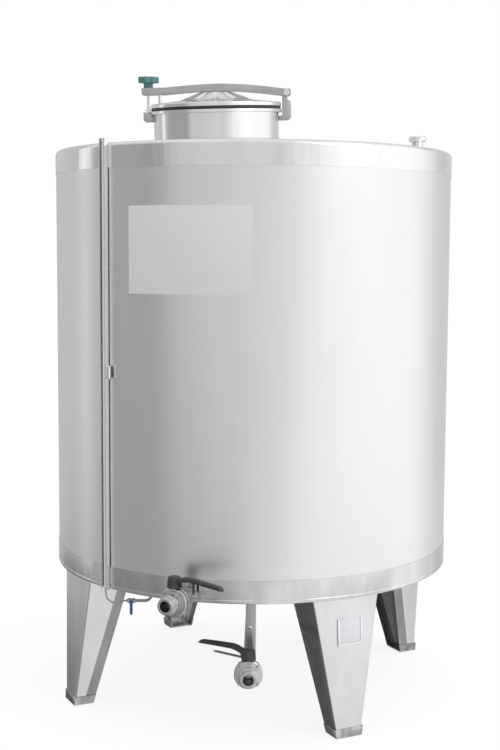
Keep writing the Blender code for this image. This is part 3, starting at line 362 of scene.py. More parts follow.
def noise(tree, stretch, scale=1.0, detail=3.0, rough=0.55, centre=(0, 0, 0)):
    """Noise on Object coordinates, stretched by a Mapping; returns its value socket."""
    place = node(tree, "ShaderNodeTexCoord")
    mapping = node(tree, "ShaderNodeMapping", Location=centre, Scale=stretch)
    texture = node(tree, "ShaderNodeTexNoise", Scale=scale, Detail=detail, Roughness=rough)
    tree.links.new(place.outputs["Object"], mapping.inputs["Vector"])
    tree.links.new(mapping.outputs["Vector"], texture.inputs["Vector"])
    return texture.outputs["Fac"]


def spread(tree, value, low, high, start=0.3, end=0.7):
    """A value between start and end turned into one between low and high."""
    ranged = node(tree, "ShaderNodeMapRange")
    for socket, number in zip(("From Min", "From Max", "To Min", "To Max"), (start, end, low, high)):
        ranged.inputs[socket].default_value = number
    tree.links.new(value, ranged.inputs["Value"])
    return ranged.outputs["Result"]


def tinted(tree, shader, value, dark, light, start=0.3, end=0.7):
    """The base colour mixed between two tones by a noise value."""
    mix = node(tree, "ShaderNodeMix", data_type="RGBA")
    mix.inputs[6].default_value = (*dark, 1)
    mix.inputs[7].default_value = (*light, 1)
    tree.links.new(spread(tree, value, 0, 1, start, end), mix.inputs[0])
    tree.links.new(mix.outputs[2], shader.inputs["Base Color"])


def bumped(tree, shader, *layers):
    """Bumps one over another, each a (value, distance in metres) pair."""
    last = None
    for value, distance in layers:
        bump = node(tree, "ShaderNodeBump", Strength=1.0, Distance=distance)
        tree.links.new(value, bump.inputs["Height"])
        if last:
            tree.links.new(last.outputs["Normal"], bump.inputs["Normal"])
        last = bump
    tree.links.new(last.outputs["Normal"], shader.inputs["Normal"])


# %% Steels
def steel(name, light, dark, roughness, grain, waves, depth, wave_depth, spots=0.06, patches=(4, 4, 2.5)):
    """Stainless steel.

    `grain`, `waves` and `patches` are the stretches of its lines, its buckles and its stains; the depths
    are heights in metres, and `spots` is how far the roughness strays.
    """
    made, tree, shader = new_material(name, light, roughness, 1.0)
    lines = noise(tree, grain, detail=2.0)
    slow = noise(tree, waves, detail=2.0, centre=(3.1, 1.7, 0.4))
    clouds = noise(tree, patches, detail=5.0, centre=(7.0, 2.0, 5.0))
    tinted(tree, shader, clouds, dark, light)
    mixed = node(tree, "ShaderNodeMath", operation="ADD")
    tree.links.new(spread(tree, lines, roughness - spots, roughness + spots), mixed.inputs[0])
    tree.links.new(spread(tree, clouds, -spots / 2, spots / 2), mixed.inputs[1])
    tree.links.new(mixed.outputs[0], shader.inputs["Roughness"])
    bumped(tree, shader, (slow, wave_depth), (lines, depth))
    return made


GROUND = steel("ground_sheet", (0.82, 0.82, 0.82), (0.76, 0.765, 0.77), 0.33,
               (4, 4, 520), (5, 5, 0.6), 0.000005, 0.0045, 0.04, (3, 3, 0.8))
SKIRT = steel("bright_skirt", (0.84, 0.84, 0.84), (0.74, 0.745, 0.75), 0.14,
              (9, 9, 500), (14, 14, 1.5), 0.000006, 0.0022, 0.04, (9, 9, 3))
# The base skirt is darker than the roof skirt as painted shade, standing for the darker surroundings that
# it reflects low down; its cloudy tone is random.
LOW_SKIRT = steel("worn_skirt", (0.80, 0.80, 0.80), (0.56, 0.565, 0.57), 0.20,
                  (7, 7, 420), (14, 14, 1.5), 0.000012, 0.0026, 0.06, (8, 8, 3))
BRIGHT = steel("bright_steel", (0.83, 0.83, 0.83), (0.76, 0.765, 0.77), 0.14,
               (90, 90, 90), (14, 14, 6), 0.00001, 0.0006, 0.04)
SATIN = steel("satin_plate", (0.52, 0.525, 0.53), (0.42, 0.425, 0.43), 0.34,
              (400, 400, 30), (12, 12, 12), 0.00003, 0.0008, 0.06, (14, 14, 9))
SHOE = steel("scuffed_shoe", (0.58, 0.58, 0.58), (0.20, 0.20, 0.20), 0.22,
             (300, 300, 12), (30, 30, 12), 0.00003, 0.0010, 0.08, (26, 26, 9))
CAST = steel("cast_steel", (0.76, 0.76, 0.75), (0.42, 0.42, 0.415), 0.20,
             (160, 160, 160), (60, 60, 60), 0.00005, 0.0004)
# The bore's darker colour is painted shade, standing for the shadow inside a valve's bore.
DULL = steel("stained_bore", (0.34, 0.34, 0.33), (0.20, 0.20, 0.195), 0.40,
             (160, 160, 160), (60, 60, 60), 0.00004, 0.0003)
TUBING = steel("pickled_tube", (0.42, 0.42, 0.41), (0.28, 0.28, 0.275), 0.44,
               (90, 90, 90), (30, 30, 30), 0.00006, 0.0005, 0.06, (30, 30, 30))
BEAD = steel("weld_bead", (0.70, 0.69, 0.66), (0.45, 0.43, 0.41), 0.32,
             (300, 300, 300), (90, 90, 90), 0.00004, 0.0003)
VESSEL = steel("vessel_sheet", (0.72, 0.72, 0.72), (0.64, 0.64, 0.65), 0.38,
               (200, 200, 200), (6, 6, 6), 0.00003, 0.002)

# %% [markdown]
# The legs are folded from sheet that still wears its protective film on the faces. The film stops
# short of the fold's free edges, where the bare sheet is darker. A colour attribute could carry
# that, but a distance from the leg's own edge is exact, so each leg's mesh stores one value per
# corner, `film`, which the material reads.

# %% Filmed sheet
def filmed_sheet():
    made, tree, shader = new_material("filmed_sheet", (0.80, 0.80, 0.80), 0.34, 0.9)
    film = node(tree, "ShaderNodeAttribute", attribute_name="film")
    clouds = noise(tree, (9, 9, 4), detail=5.0)
    fine = noise(tree, (500, 500, 24), detail=2.0)
    # Dark tones for the uncovered edges, also used on the first leg's left side as painted shade.
    bare = node(tree, "ShaderNodeMix", data_type="RGBA")
    bare.inputs[6].default_value = (0.22, 0.22, 0.22, 1)
    bare.inputs[7].default_value = (0.36, 0.36, 0.355, 1)
    covered = node(tree, "ShaderNodeMix", data_type="RGBA")
    covered.inputs[6].default_value = (0.62, 0.625, 0.63, 1)
    covered.inputs[7].default_value = (0.72, 0.725, 0.73, 1)
    both = node(tree, "ShaderNodeMix", data_type="RGBA")
    share = spread(tree, clouds, 0, 1)
    tree.links.new(share, bare.inputs[0])
    tree.links.new(share, covered.inputs[0])
    tree.links.new(film.outputs["Fac"], both.inputs[0])
    tree.links.new(bare.outputs[2], both.inputs[6])
    tree.links.new(covered.outputs[2], both.inputs[7])
    tree.links.new(both.outputs[2], shader.inputs["Base Color"])
    tree.links.new(spread(tree, film.outputs["Fac"], 0.20, 0.21, 0, 1), shader.inputs["Roughness"])
    bumped(tree, shader, (clouds, 0.0012), (fine, 0.00003))
    return made


FILMED = filmed_sheet()


# %% Plastics, rubber, foam and plates
def moulded(name, light, dark, roughness, grain, depth, **sockets):
    """A moulded material: faint clouds in its colour, a fine grain in its surface."""
    made, tree, shader = new_material(name, light, roughness, **sockets)
    clouds = noise(tree, (30, 30, 30), detail=4.0)
    fine = noise(tree, (grain, grain, grain), detail=2.0)
    tinted(tree, shader, clouds, dark, light)
    tree.links.new(spread(tree, clouds, roughness - 0.05, roughness + 0.05), shader.inputs["Roughness"])
    bumped(tree, shader, (fine, depth))
    return made


BLACK = moulded("black_nylon", (0.050, 0.056, 0.058), (0.030, 0.034, 0.036), 0.42, 900, 0.00008)
TEAL = moulded("teal_nylon", (0.115, 0.290, 0.295), (0.075, 0.215, 0.225), 0.36, 700, 0.00006)
BLUE = moulded("blue_dip", (0.020, 0.120, 0.330), (0.014, 0.085, 0.260), 0.35, 200, 0.00010)
RUBBER = moulded("gasket_rubber", (0.040, 0.040, 0.042), (0.022, 0.022, 0.024), 0.55, 600, 0.00005)
FOAM = moulded("insulation_foam", (0.80, 0.70, 0.46), (0.70, 0.58, 0.34), 0.92, 260, 0.0006)
SIGN = moulded("blank_sign", (0.810, 0.810, 0.810), (0.800, 0.800, 0.800), 0.60, 500, 0.00001)
CARD = moulded("blank_label", (0.88, 0.90, 0.93), (0.84, 0.865, 0.90), 0.40, 400, 0.00003)
CLEAR = moulded("clear_tube", (0.95, 0.96, 0.97), (0.90, 0.92, 0.94), 0.24, 120, 0.00002,
                Transmission_Weight=0.15, IOR=1.45)
HOSE = moulded("aged_hose", (0.58, 0.59, 0.60), (0.42, 0.43, 0.44), 0.30, 120, 0.00002,
               Transmission_Weight=0.25, IOR=1.45)
print(len(bpy.data.materials), "finishes")

# %% [markdown]
# ## Welds, threads and bolts from Geometry Nodes
# A weld bead is the same small puddle laid again and again along a joint, a round thread is one
# section carried along a helix, and a flange's bolts are one bolt on a circle. All three repeat or
# follow a path, so each is a node tree with named inputs. The result is taken into a plain mesh.

# %% Node tree helpers
def new_tree(name, *inputs):
    """A geometry tree with named number inputs, and its in and out nodes."""
    tree = bpy.data.node_groups.new(name, "GeometryNodeTree")
    tree.interface.new_socket("Geometry", in_out="INPUT", socket_type="NodeSocketGeometry")
    for label, kind, value in inputs:
        socket = tree.interface.new_socket(label, in_out="INPUT", socket_type="NodeSocket" + kind)
        if value is not None:
            socket.default_value = value
    tree.interface.new_socket("Geometry", in_out="OUTPUT", socket_type="NodeSocketGeometry")
    return tree, tree.nodes.new("NodeGroupInput"), tree.nodes.new("NodeGroupOutput")


def wire(tree, *pairs):
    for source, target in pairs:
        tree.links.new(source, target)


def ended(tree, shape, inputs, output):
    """Real geometry with the tree's material, sent to the output."""
    real = tree.nodes.new("GeometryNodeRealizeInstances")
    finish = tree.nodes.new("GeometryNodeSetMaterial")
    wire(tree, (shape, real.inputs[0]), (real.outputs[0], finish.inputs["Geometry"]),
         (inputs.outputs["Finish"], finish.inputs["Material"]), (finish.outputs[0], output.inputs[0]))


def fill_inputs(modifier, tree, values):
    """Sets a modifier's named inputs, each by its socket's identifier."""
    for socket in tree.interface.items_tree:
        if socket.in_out == "INPUT" and socket.name in values:
            modifier[socket.identifier] = values[socket.name]


def grown(item, tree, **values):
    """Runs a tree on an object and takes its result into the mesh."""
    step = item.modifiers.new(tree.name, "NODES")
    step.node_group = tree
    fill_inputs(step, tree, values)
    return baked(item)


def path_object(name, points, cyclic=False):
    curve = bpy.data.curves.new(name, "CURVE")
    curve.dimensions = "3D"
    line = curve.splines.new("POLY")
    line.points.add(len(points) - 1)
    for point, place in zip(line.points, points):
        point.co = (*place, 1)
    line.use_cyclic_u = cyclic
    made = bpy.data.objects.new(name, curve)
    bpy.context.scene.collection.objects.link(made)
    return made


# %% The weld bead
PUDDLE_SHAPE = (2.2, 1.0, 0.8)    # length in pitches, then width and height in widths


def bead_tree():
    tree, inputs, output = new_tree("weld_bead", ("Pitch", "Float", 0.003), ("Width", "Float", 0.003),
                                    ("Finish", "Material", None))
    spaced = node(tree, "GeometryNodeResampleCurve", mode="LENGTH")
    puddle = node(tree, "GeometryNodeMeshIcoSphere", Subdivisions=2)
    place = node(tree, "GeometryNodeInstanceOnPoints")
    tangent = node(tree, "GeometryNodeInputTangent")
    turn = node(tree, "FunctionNodeAlignRotationToVector", axis="X")
    size = node(tree, "ShaderNodeCombineXYZ")
    wire(tree, (inputs.outputs["Geometry"], spaced.inputs["Curve"]),
         (inputs.outputs["Pitch"], spaced.inputs["Length"]),
         (spaced.outputs["Curve"], place.inputs["Points"]),
         (puddle.outputs["Mesh"], place.inputs["Instance"]),
         (tangent.outputs[0], turn.inputs["Vector"]), (turn.outputs[0], place.inputs["Rotation"]),
         (inputs.outputs["Pitch"], size.inputs["X"]), (inputs.outputs["Width"], size.inputs["Y"]),
         (inputs.outputs["Width"], size.inputs["Z"]))
    puddle.inputs["Radius"].default_value = 0.5
    overlapped = node(tree, "ShaderNodeVectorMath", operation="MULTIPLY")
    overlapped.inputs[1].default_value = PUDDLE_SHAPE
    wire(tree, (size.outputs[0], overlapped.inputs[0]), (overlapped.outputs[0], place.inputs["Scale"]))
    ended(tree, place.outputs["Instances"], inputs, output)
    return tree


BEAD_TREE = bead_tree()


def weld(name, points, body, width=0.0035, pitch=0.0028, cyclic=False):
    path = path_object(name + "_path", points, cyclic)
    bead = add_object(name, bmesh.new())
    holder = path.modifiers.new("bead", "NODES")
    holder.node_group = BEAD_TREE
    fill_inputs(holder, BEAD_TREE, {"Pitch": pitch, "Width": width, "Finish": BEAD})
    seen = path.evaluated_get(bpy.context.evaluated_depsgraph_get())
    bead.data = bpy.data.meshes.new_from_object(seen)
    bpy.data.objects.remove(path, do_unlink=True)
    return hand_over(bead, BEAD, "brushed_steel", body)

# %% [markdown]
# ## The insulated drum
# The wall is one rolled sheet with a single upright seam at the back. The roof is a shallow cone
# with a polished skirt that laps over the wall, and the base has a skirt of its own that is rolled
# under into a thick rim. All three are turned profiles; the roof is then cut for the manway and
# the vent with a Boolean, so that the open manway really looks into the milk vessel.

# %% Roof, wall and base
ROUND = 256
SHOULDER_R = 0.015
SHOULDER_X = BAND_R - SHOULDER_R
SHOULDER_Z = SHELL_HIGH.z
SKIRT_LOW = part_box("roof_cover")[0].z
EDGE_R = SHOULDER_X + SHOULDER_R * sin(ROOF_SLOPE)
EDGE_Z = SHOULDER_Z + SHOULDER_R * cos(ROOF_SLOPE)
NECK_R = 0.200
VENT = Vector(((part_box("vent_pipe")[0].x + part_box("vent_pipe")[1].x) / 2 - AXIS.x, 0, 0))
VENT_R = 0.019


def roof_z(radius):
    return EDGE_Z + (EDGE_R - radius) * tan(ROOF_SLOPE)


def post(radius, low, high, place, steps=96):
    """A plain round cutter along local Z."""
    bm = turned([(0, high), (radius, high), (radius, low), (0, low)], steps)
    return add_object("cutter", tidy(bm, place))


shell_profile = [(TANK_R, SHELL_LOW.z), (TANK_R, SHOULDER_Z), (TANK_R - SHEET, SHOULDER_Z),
                 (TANK_R - SHEET, SHELL_LOW.z)]
piece("wall_sheet", turned(shell_profile, ROUND), TANK, GROUND, "brushed_steel", "tank", "outer_shell")

shoulder = arc((SHOULDER_X, SHOULDER_Z), SHOULDER_R, pi / 2 - ROOF_SLOPE, 0, 12)
inside = arc((SHOULDER_X, SHOULDER_Z), SHOULDER_R - SHEET, 0, pi / 2 - ROOF_SLOPE, 12)
halfway, crown_z = 0.30, roof_z(0)
roof_profile = [(0, crown_z), (halfway, roof_z(halfway)), *shoulder, (BAND_R, SKIRT_LOW),
                (BAND_R - SHEET, SKIRT_LOW), *inside, (halfway, roof_z(halfway) - SHEET),
                (0, crown_z - SHEET)]
roof = add_object("roof_and_skirt", tidy(turned(roof_profile, ROUND), TANK))
neck_cutter = post(NECK_R + GAP, -0.3, 0.3, MANWAY)
vent_cutter = post(VENT_R + GAP, 1.6, 1.9, TANK @ Matrix.Translation(VENT), 48)
combined(roof, [neck_cutter, vent_cutter], "DIFFERENCE")
hand_over(roof, SKIRT, "polished_steel", "tank", "roof_cover")

base_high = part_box("base_cover")[1].z
plate_z = BOTTOM_Z + 0.004
curl_in = BAND_R - 0.011
bead_top, groove = BOTTOM_Z + 0.0115, 0.0012
base_profile = rounded([
    (BAND_R - SHEET, plate_z + SHEET), (BAND_R - SHEET, base_high), (BAND_R, base_high),
    (BAND_R, bead_top + 0.0030, 0.0006), (BAND_R - groove, bead_top + 0.0012, 0.0008),
    (BAND_R, bead_top - 0.0010, 0.0012), (BAND_R, BOTTOM_Z, 0.0060), (curl_in, BOTTOM_Z, 0.0030),
    (curl_in, plate_z, 0.0015)], closed=False)
base_profile = [(0, plate_z + SHEET), *base_profile, (0, plate_z)]
base_bm = turned(base_profile, ROUND)
piece("base_and_skirt", base_bm, TANK, LOW_SKIRT, "polished_steel", "tank", "base_cover")
print("roof edge", round(EDGE_Z, 4), "skirts", round(SKIRT_LOW, 4), round(base_high, 4))

# %% The seam up the back of the wall
seam = [AXIS + outward(pi, TANK_R - 0.0004, z) for z in (base_high + 0.002, SKIRT_LOW - 0.002)]
weld("wall_seam", seam, "tank", width=0.0030, pitch=0.0040)

# %% [markdown]
# ## The milk vessel inside
# The vessel hangs inside the foam and shows only through the open manway. It gets the same kind of
# turned profile, with dished corners as on a real vessel, and its own holes.

# %% Vessel
vessel_low, vessel_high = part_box("inner_vessel")
VESSEL_R = (vessel_high.x - vessel_low.x) / 2
WALL = 0.0025
vessel_top = vessel_high.z - VESSEL_R * tan(ROOF_SLOPE)
FLOOR_FALL, DISH = 0.020, 0.03    # how far the floor drops to its middle, and its corners' radius
floor_wall, floor_mid = vessel_low.z + FLOOR_FALL, vessel_low.z
vessel_in, dish_in = VESSEL_R - WALL, 0.028
vessel_profile = rounded([
    (0, vessel_high.z), (VESSEL_R, vessel_top, DISH), (VESSEL_R, floor_wall, DISH), (0, floor_mid),
    (0, floor_mid + WALL), (vessel_in, floor_wall + WALL, dish_in), (vessel_in, vessel_top - WALL, dish_in),
    (0, vessel_high.z - WALL)], closed=False)
print("vessel radius", round(VESSEL_R, 4), "top", round(vessel_high.z, 4))

# %% [markdown]
# ## The manway
# The neck is a short wide pipe welded into the roof, with a flange ring on top. The lid is pressed
# from thin sheet: a rounded rim, a flat, and a dome stiffened by shallow ribs that run out from
# the middle. A pressing like that is one height for each radius and angle, so the dome is a polar
# grid whose height is a formula, which is simpler and cleaner than sculpting ribs onto a disc.

# %% Neck, ring and gasket
NECK_TOP, RING_TOP = 0.0795, 0.0900
RING_R, GASKET_R, GASKET_WIDTH = 0.2100, 0.2070, 0.016
GASKET_TOP = RING_TOP + GAP + 0.0088
MANWAY_STEPS = 192
NECK_WALL = 0.0025
neck_in = NECK_R - NECK_WALL
neck_low = -0.085
gasket_low, gasket_in = RING_TOP + GAP, GASKET_R - GASKET_WIDTH


def manway_ring(name, outer_r, inner_r, low, high, corner, *handed):
    """A ring of rectangular section, turned about the manway's axis."""
    section = rounded([(outer_r, high), (outer_r, low), (inner_r, low), (inner_r, high)], corner)
    return piece(name, turned(section, MANWAY_STEPS), MANWAY, *handed)


manway_ring("neck", NECK_R, neck_in, neck_low, NECK_TOP - GAP, 0,
            SKIRT, "polished_steel", "tank", "manway_neck")
manway_ring("flange_ring", RING_R, neck_in, NECK_TOP, RING_TOP, 0.0022,
            BRIGHT, "polished_steel", "tank", "neck_ring")
manway_ring("gasket", GASKET_R, gasket_in, gasket_low, GASKET_TOP, 0.003,
            RUBBER, "black_rubber", "lid", "lid_gasket")

# %% The weld where the neck meets the cone of the roof
def on_roof(angle, radius):
    """The point where a line up the neck's side meets the roof."""
    side = MANWAY @ Vector((radius * cos(angle), radius * sin(angle), 0))
    for _ in range(6):
        flat = (side - AXIS).xy.length
        side = side + MANWAY_UP * (roof_z(flat) - side.z)
    return side


neck_joint = [on_roof(angle, NECK_R + 0.0008) for angle in round_angles(240)]
weld("neck_weld", neck_joint, "tank", width=0.0046, pitch=0.0036, cyclic=True)

# %% The pressed lid
LID_R, LID_LOW = 0.2080, GASKET_TOP + GAP
LID_FLAT = LID_LOW + 0.0125
DOME_R, DOME_TOP_R = 0.120, 0.051
DOME_BASE = LID_FLAT + 0.0095
DOME_TOP = DOME_BASE + 0.026
LID_SHEET, LID_ROUND, LIP_WIDTH = 0.0020, 0.005, 0.010
RIBS, RIB_DEPTH = 12, 0.0058
LID_STEPS = 288


def eased(share):
    share = min(max(share, 0.0), 1.0)
    return share * share * (3 - 2 * share)


def lid_height(radius, angle):
    """The top of the lid: flat crown, ribbed dome, then a gentle fall to the rim."""
    if radius > DOME_R:
        return DOME_BASE - (DOME_BASE - LID_FLAT) * (radius - DOME_R) / (LID_R - LID_ROUND - DOME_R)
    share = (DOME_R - radius) / (DOME_R - DOME_TOP_R)
    height = DOME_BASE + (DOME_TOP - DOME_BASE) * min(share, 1.0)
    middle = eased(share * 3) * eased((1 - share) * 3)
    wave = (0.5 + 0.5 * cos(RIBS * angle)) ** 3
    return height - RIB_DEPTH * middle * wave


lid_radii = [0, 0.02, 0.040, 0.048, 0.051, 0.054, 0.058, 0.064, 0.072, 0.082, 0.092, 0.100, 0.107, 0.113,
             0.118, 0.120, 0.122, 0.126, 0.150, 0.180, 0.198]
rim_r, rim_z = LID_R - LID_ROUND, LID_FLAT - LID_ROUND
rim_turns = [pi / 12 * i for i in range(7)]
rim = [(rim_r + LID_ROUND * sin(a), rim_z + LID_ROUND * cos(a)) for a in rim_turns]
lip_in = LID_R - LIP_WIDTH
lip = rounded([(LID_R, LID_LOW), (lip_in, LID_LOW), (lip_in, LID_FLAT - 0.004)], 0.001, 3, False)
rings = []
for angle in round_angles(LID_STEPS):
    over = [(r, lid_height(r, angle)) for r in lid_radii]
    under = [(r, lid_height(r, angle) - LID_SHEET) for r in reversed(lid_radii[:-1])]
    rings.append(spun([*over, *rim, *lip, *under], angle))
lid_bm = ringed(rings, closed_rings=False, closed_ends=True)
piece("pressed_lid", lid_bm, MANWAY, BRIGHT, "polished_steel", "lid", "manway_lid")
print("lid from", round(LID_LOW, 4), "to", round(DOME_TOP, 4), "with", RIBS, "ribs")

# %% [markdown]
# ## The clamp arm
# Two flat bars bow over the lid from the hinge to the clamp. Between them hang a block with the
# stud that carries the lid, a guide pin, and the trunnion of the clamp bolt. The bars are cut from
# plate, so an outline pushed to a thickness is what they are; only their edges need easing.

# %% Arm bars
ARM_LEFT, ARM_LEFT_Z, ARM_STRAIGHT = -0.235, 0.1535, -0.158
CREST_X, CREST_Z = 0.012, 0.162
ARM_HEIGHT, ARM_BAR, ARM_GAP = 0.023, 0.005, 0.0315
BOLT_X, TRUNNION_R, HINGE_PIN_R = -0.2147, 0.004, 0.005
UPRIGHT = Matrix.Rotation(pi / 2, 4, "X")   # outline XY becomes the manway's XZ


def arm_mid(x):
    if x <= ARM_STRAIGHT:
        return ARM_LEFT_Z
    if x <= CREST_X:
        share = (x - ARM_STRAIGHT) / (CREST_X - ARM_STRAIGHT)
        return ARM_LEFT_Z + (CREST_Z - ARM_LEFT_Z) * sin(share * pi / 2)
    return CREST_Z - (CREST_Z - HINGE_Z) * ((x - CREST_X) / (HINGE_X - CREST_X)) ** 1.6


arm_end = HINGE_X + 0.015
stations = [ARM_STRAIGHT + (arm_end - ARM_STRAIGHT) * i / 40 for i in range(41)]
half_height = ARM_HEIGHT / 2
over = [(x, arm_mid(min(x, HINGE_X)) + half_height) for x in stations]
under = [(x, arm_mid(min(x, HINGE_X)) - half_height) for x in reversed(stations)]
left = [(ARM_LEFT, ARM_LEFT_Z - half_height, 0.007), (ARM_LEFT, ARM_LEFT_Z + half_height, 0.003)]
over[-1], under[0] = (*over[-1], 0.004), (*under[0], 0.004)
arm_outline = rounded([*left, *over, *under])
for side, name in ((-1, "arm_bar_front"), (1, "arm_bar_back")):
    at = MANWAY @ Matrix.Translation((0, side * (ARM_GAP + ARM_BAR) / 2, 0)) @ UPRIGHT
    bar = add_object(name + "_plate", tidy(slab(arm_outline, ARM_BAR, 0.0007), at))
    pin_hole = post(HINGE_PIN_R + GAP, -0.01, 0.01, at @ Matrix.Translation((HINGE_X, HINGE_Z, 0)), 64)
    bolt_at = at @ Matrix.Translation((BOLT_X, ARM_LEFT_Z, 0))
    trunnion_hole = post(TRUNNION_R + GAP, -0.01, 0.01, bolt_at, 48)
    combined(bar, [pin_hole, trunnion_hole], "DIFFERENCE")
    hand_over(bar, SATIN, "brushed_steel", "lid", name)

# %% Block, stud and nut, guide pin and hinge pin
def hexagon(across, low, high, ease=0.0012):
    """A hexagonal nut's solid, its corners cut back by a cone at both ends."""
    corner = across / sqrt(3)
    corners = [(corner * cos(a), corner * sin(a)) for a in (pi / 3 * i for i in range(6))]
    outline = rounded(corners, 0.0006, 2)
    inner = [(x * (1 - ease / corner), y * (1 - ease / corner)) for x, y in outline]
    heights = ((inner, low), (outline, low + ease / 2), (outline, high - ease / 2), (inner, high))
    return ringed([[(x, y, z) for x, y in ring] for ring, z in heights])


softened("arm_block", 0.0012, SATIN, "brushed_steel", "arm_block_plate", 3)
stud_low, block_low = DOME_TOP + GAP, DOME_TOP + 0.006
stud_top = block_low + 0.014 + 0.004
stud_profile = rounded([(0, stud_top), (0.006, stud_top, 0.0015), (0.006, DOME_TOP + 0.004, 0.002),
                        (0.011, DOME_TOP + 0.002, 0.001), (0.012, stud_low), (0, stud_low)], closed=False)
piece("lid_stud_turned", turned(stud_profile, 48), MANWAY, BRIGHT, "polished_steel", "lid", "lid_stud")
GUIDE_X, GUIDE_R, GUIDE_HEAD_R, GUIDE_HEAD = -0.178, 0.0055, 0.0155, 0.006
guide_low = lid_height(-GUIDE_X - GUIDE_R, 0) + GAP
guide_top = ARM_LEFT_Z - 0.001
head_low = guide_top - GUIDE_HEAD
guide_profile = rounded([
    (0, guide_top), (GUIDE_HEAD_R, guide_top, 0.0008), (GUIDE_HEAD_R, head_low, 0.001),
    (GUIDE_R, head_low, 0.002), (GUIDE_R, guide_low, 0.001), (0, guide_low)], closed=False)
at = MANWAY @ Matrix.Translation((GUIDE_X, 0, 0))
piece("guide_pin_turned", turned(guide_profile, 48), at, BRIGHT, "polished_steel", "lid", "lid_guide_pin")

pin_half, head, head_r = ARM_GAP / 2 + ARM_BAR + GAP, 0.003, 0.009
pin_profile = rounded([
    (0, pin_half + head), (head_r, pin_half + head, 0.0016), (head_r, pin_half), (HINGE_PIN_R, pin_half),
    (HINGE_PIN_R, -pin_half), (head_r, -pin_half), (head_r, -pin_half - head, 0.0016),
    (0, -pin_half - head)], closed=False)
at = MANWAY @ Matrix.Translation((HINGE_X, 0, HINGE_Z)) @ UPRIGHT
piece("hinge_pin_turned", turned(pin_profile, 64), at, BRIGHT, "polished_steel", "tank", "hinge_pin")
softened("hinge_bracket", 0.0008, SATIN, "brushed_steel", "hinge_bracket_plate")
softened("clamp_lug", 0.0008, SATIN, "brushed_steel", "clamp_lug_plate")

# %% [markdown]
# ## The clamp
# A star knob screws down a bolt that hangs in a trunnion between the arm's bars, and the bolt's
# cross foot hooks under the keeper on the neck. The knob's outline is a circle whose radius swings
# with the cosine of seven times the angle, which gives soft even lobes.

# %% Trunnion, bolt and knob
BOLT_LEAN, FOOT_Z = 0.0018, 0.0958
KNOB_TOP, KNOB_R, KNOB_H, KNOB_LOBES, LOBE_DEPTH = 0.2005, 0.034, 0.020, 7, 0.0035
SHANK_R, THREAD_ROOT_R, FOOT_R, FOOT_HALF = 0.0040, 0.0034, 0.0075, 0.013
KNOB_BORE_R, KNOB_HUB_R = 0.0044, 0.0148
drop = ARM_LEFT_Z - FOOT_Z
lean = atan2(BOLT_LEAN, drop)
TRUNNION = MANWAY @ Matrix.Translation((BOLT_X, 0, ARM_LEFT_Z))
BOLT = TRUNNION @ Matrix.Rotation(lean, 4, "Y")
trunnion_half, trunnion_out = ARM_GAP / 2 - GAP, ARM_GAP / 2 + ARM_BAR
trunnion_profile = rounded([
    (0, trunnion_out), (TRUNNION_R, trunnion_out, 0.0005), (TRUNNION_R, trunnion_half),
    (0.008, trunnion_half, 0.0008), (0.008, -trunnion_half, 0.0008), (TRUNNION_R, -trunnion_half),
    (TRUNNION_R, -trunnion_out, 0.0005), (0, -trunnion_out)], closed=False)
piece("trunnion_turned", turned(trunnion_profile, 48), TRUNNION @ UPRIGHT, SATIN, "brushed_steel", "clamp",
      "clamp_trunnion")
reach = sqrt(drop ** 2 + BOLT_LEAN ** 2)
bolt_top = KNOB_TOP - ARM_LEFT_Z - 0.006
thread_low, thread_pitch = -reach + 0.016, 0.00125
turns = int((bolt_top - thread_low) / thread_pitch)
threads = []
for i in range(turns):
    z = bolt_top - i * thread_pitch
    threads += [(SHANK_R, z - 0.0002), (SHANK_R, z - 0.0004), (THREAD_ROOT_R, z - 0.0009)]
shank_profile = [(0, bolt_top), (THREAD_ROOT_R, bolt_top), *threads, (SHANK_R, thread_low - 0.001),
                 (SHANK_R, -reach), (0, -reach)]
shank = add_object("clamp_bolt_turned", tidy(turned(shank_profile, 32), BOLT))
foot_profile = rounded([(0, FOOT_HALF), (FOOT_R, FOOT_HALF, 0.0012), (FOOT_R, -FOOT_HALF, 0.0012),
                        (0, -FOOT_HALF)], closed=False)
foot_at = BOLT @ Matrix.Translation((0, 0, -reach)) @ UPRIGHT
foot = add_object("foot", tidy(turned(foot_profile, 48), foot_at))
combined(shank, [foot], "UNION")
hand_over(shank, BRIGHT, "polished_steel", "clamp", "clamp_bolt")

knob_high = KNOB_TOP - ARM_LEFT_Z
knob_low = knob_high - KNOB_H
hub_low = 0.0083
knob_rows = [(0.020, knob_high - 0.0040), (0.010, knob_high - 0.0012), (0.0045, knob_high),
             (0.0015, knob_high - 0.0012), (0, knob_high - 0.0040), (0, knob_low + 0.0030),
             (0.0008, knob_low + 0.0009), (0.0030, knob_low), (0.0100, knob_low)]
knob_hub = [(KNOB_HUB_R, knob_low - 0.0015), (KNOB_HUB_R, hub_low + 0.0008), (KNOB_HUB_R - 0.0008, hub_low),
            (KNOB_BORE_R, hub_low), (KNOB_BORE_R, knob_high - 0.006), (0, knob_high - 0.006)]
knob_rings = []
for angle in round_angles(168):
    rim_r = KNOB_R - LOBE_DEPTH + LOBE_DEPTH * cos(KNOB_LOBES * angle)
    star = [(rim_r - inset, z) for inset, z in knob_rows]
    knob_rings.append(spun([(0, knob_high - 0.0040), *star, *knob_hub], angle))
knob_bm = ringed(knob_rings, closed_rings=False, closed_ends=True)
piece("star_knob", knob_bm, BOLT, TEAL, "teal_plastic", "knob", "clamp_knob")
print("clamp bolt", round((bolt_top + reach) * 1000, 1), "mm long,", turns, "turns of thread")

# %% [markdown]
# ## The vent
# A short capped pipe lets the vessel breathe. The cap lifts straight off.

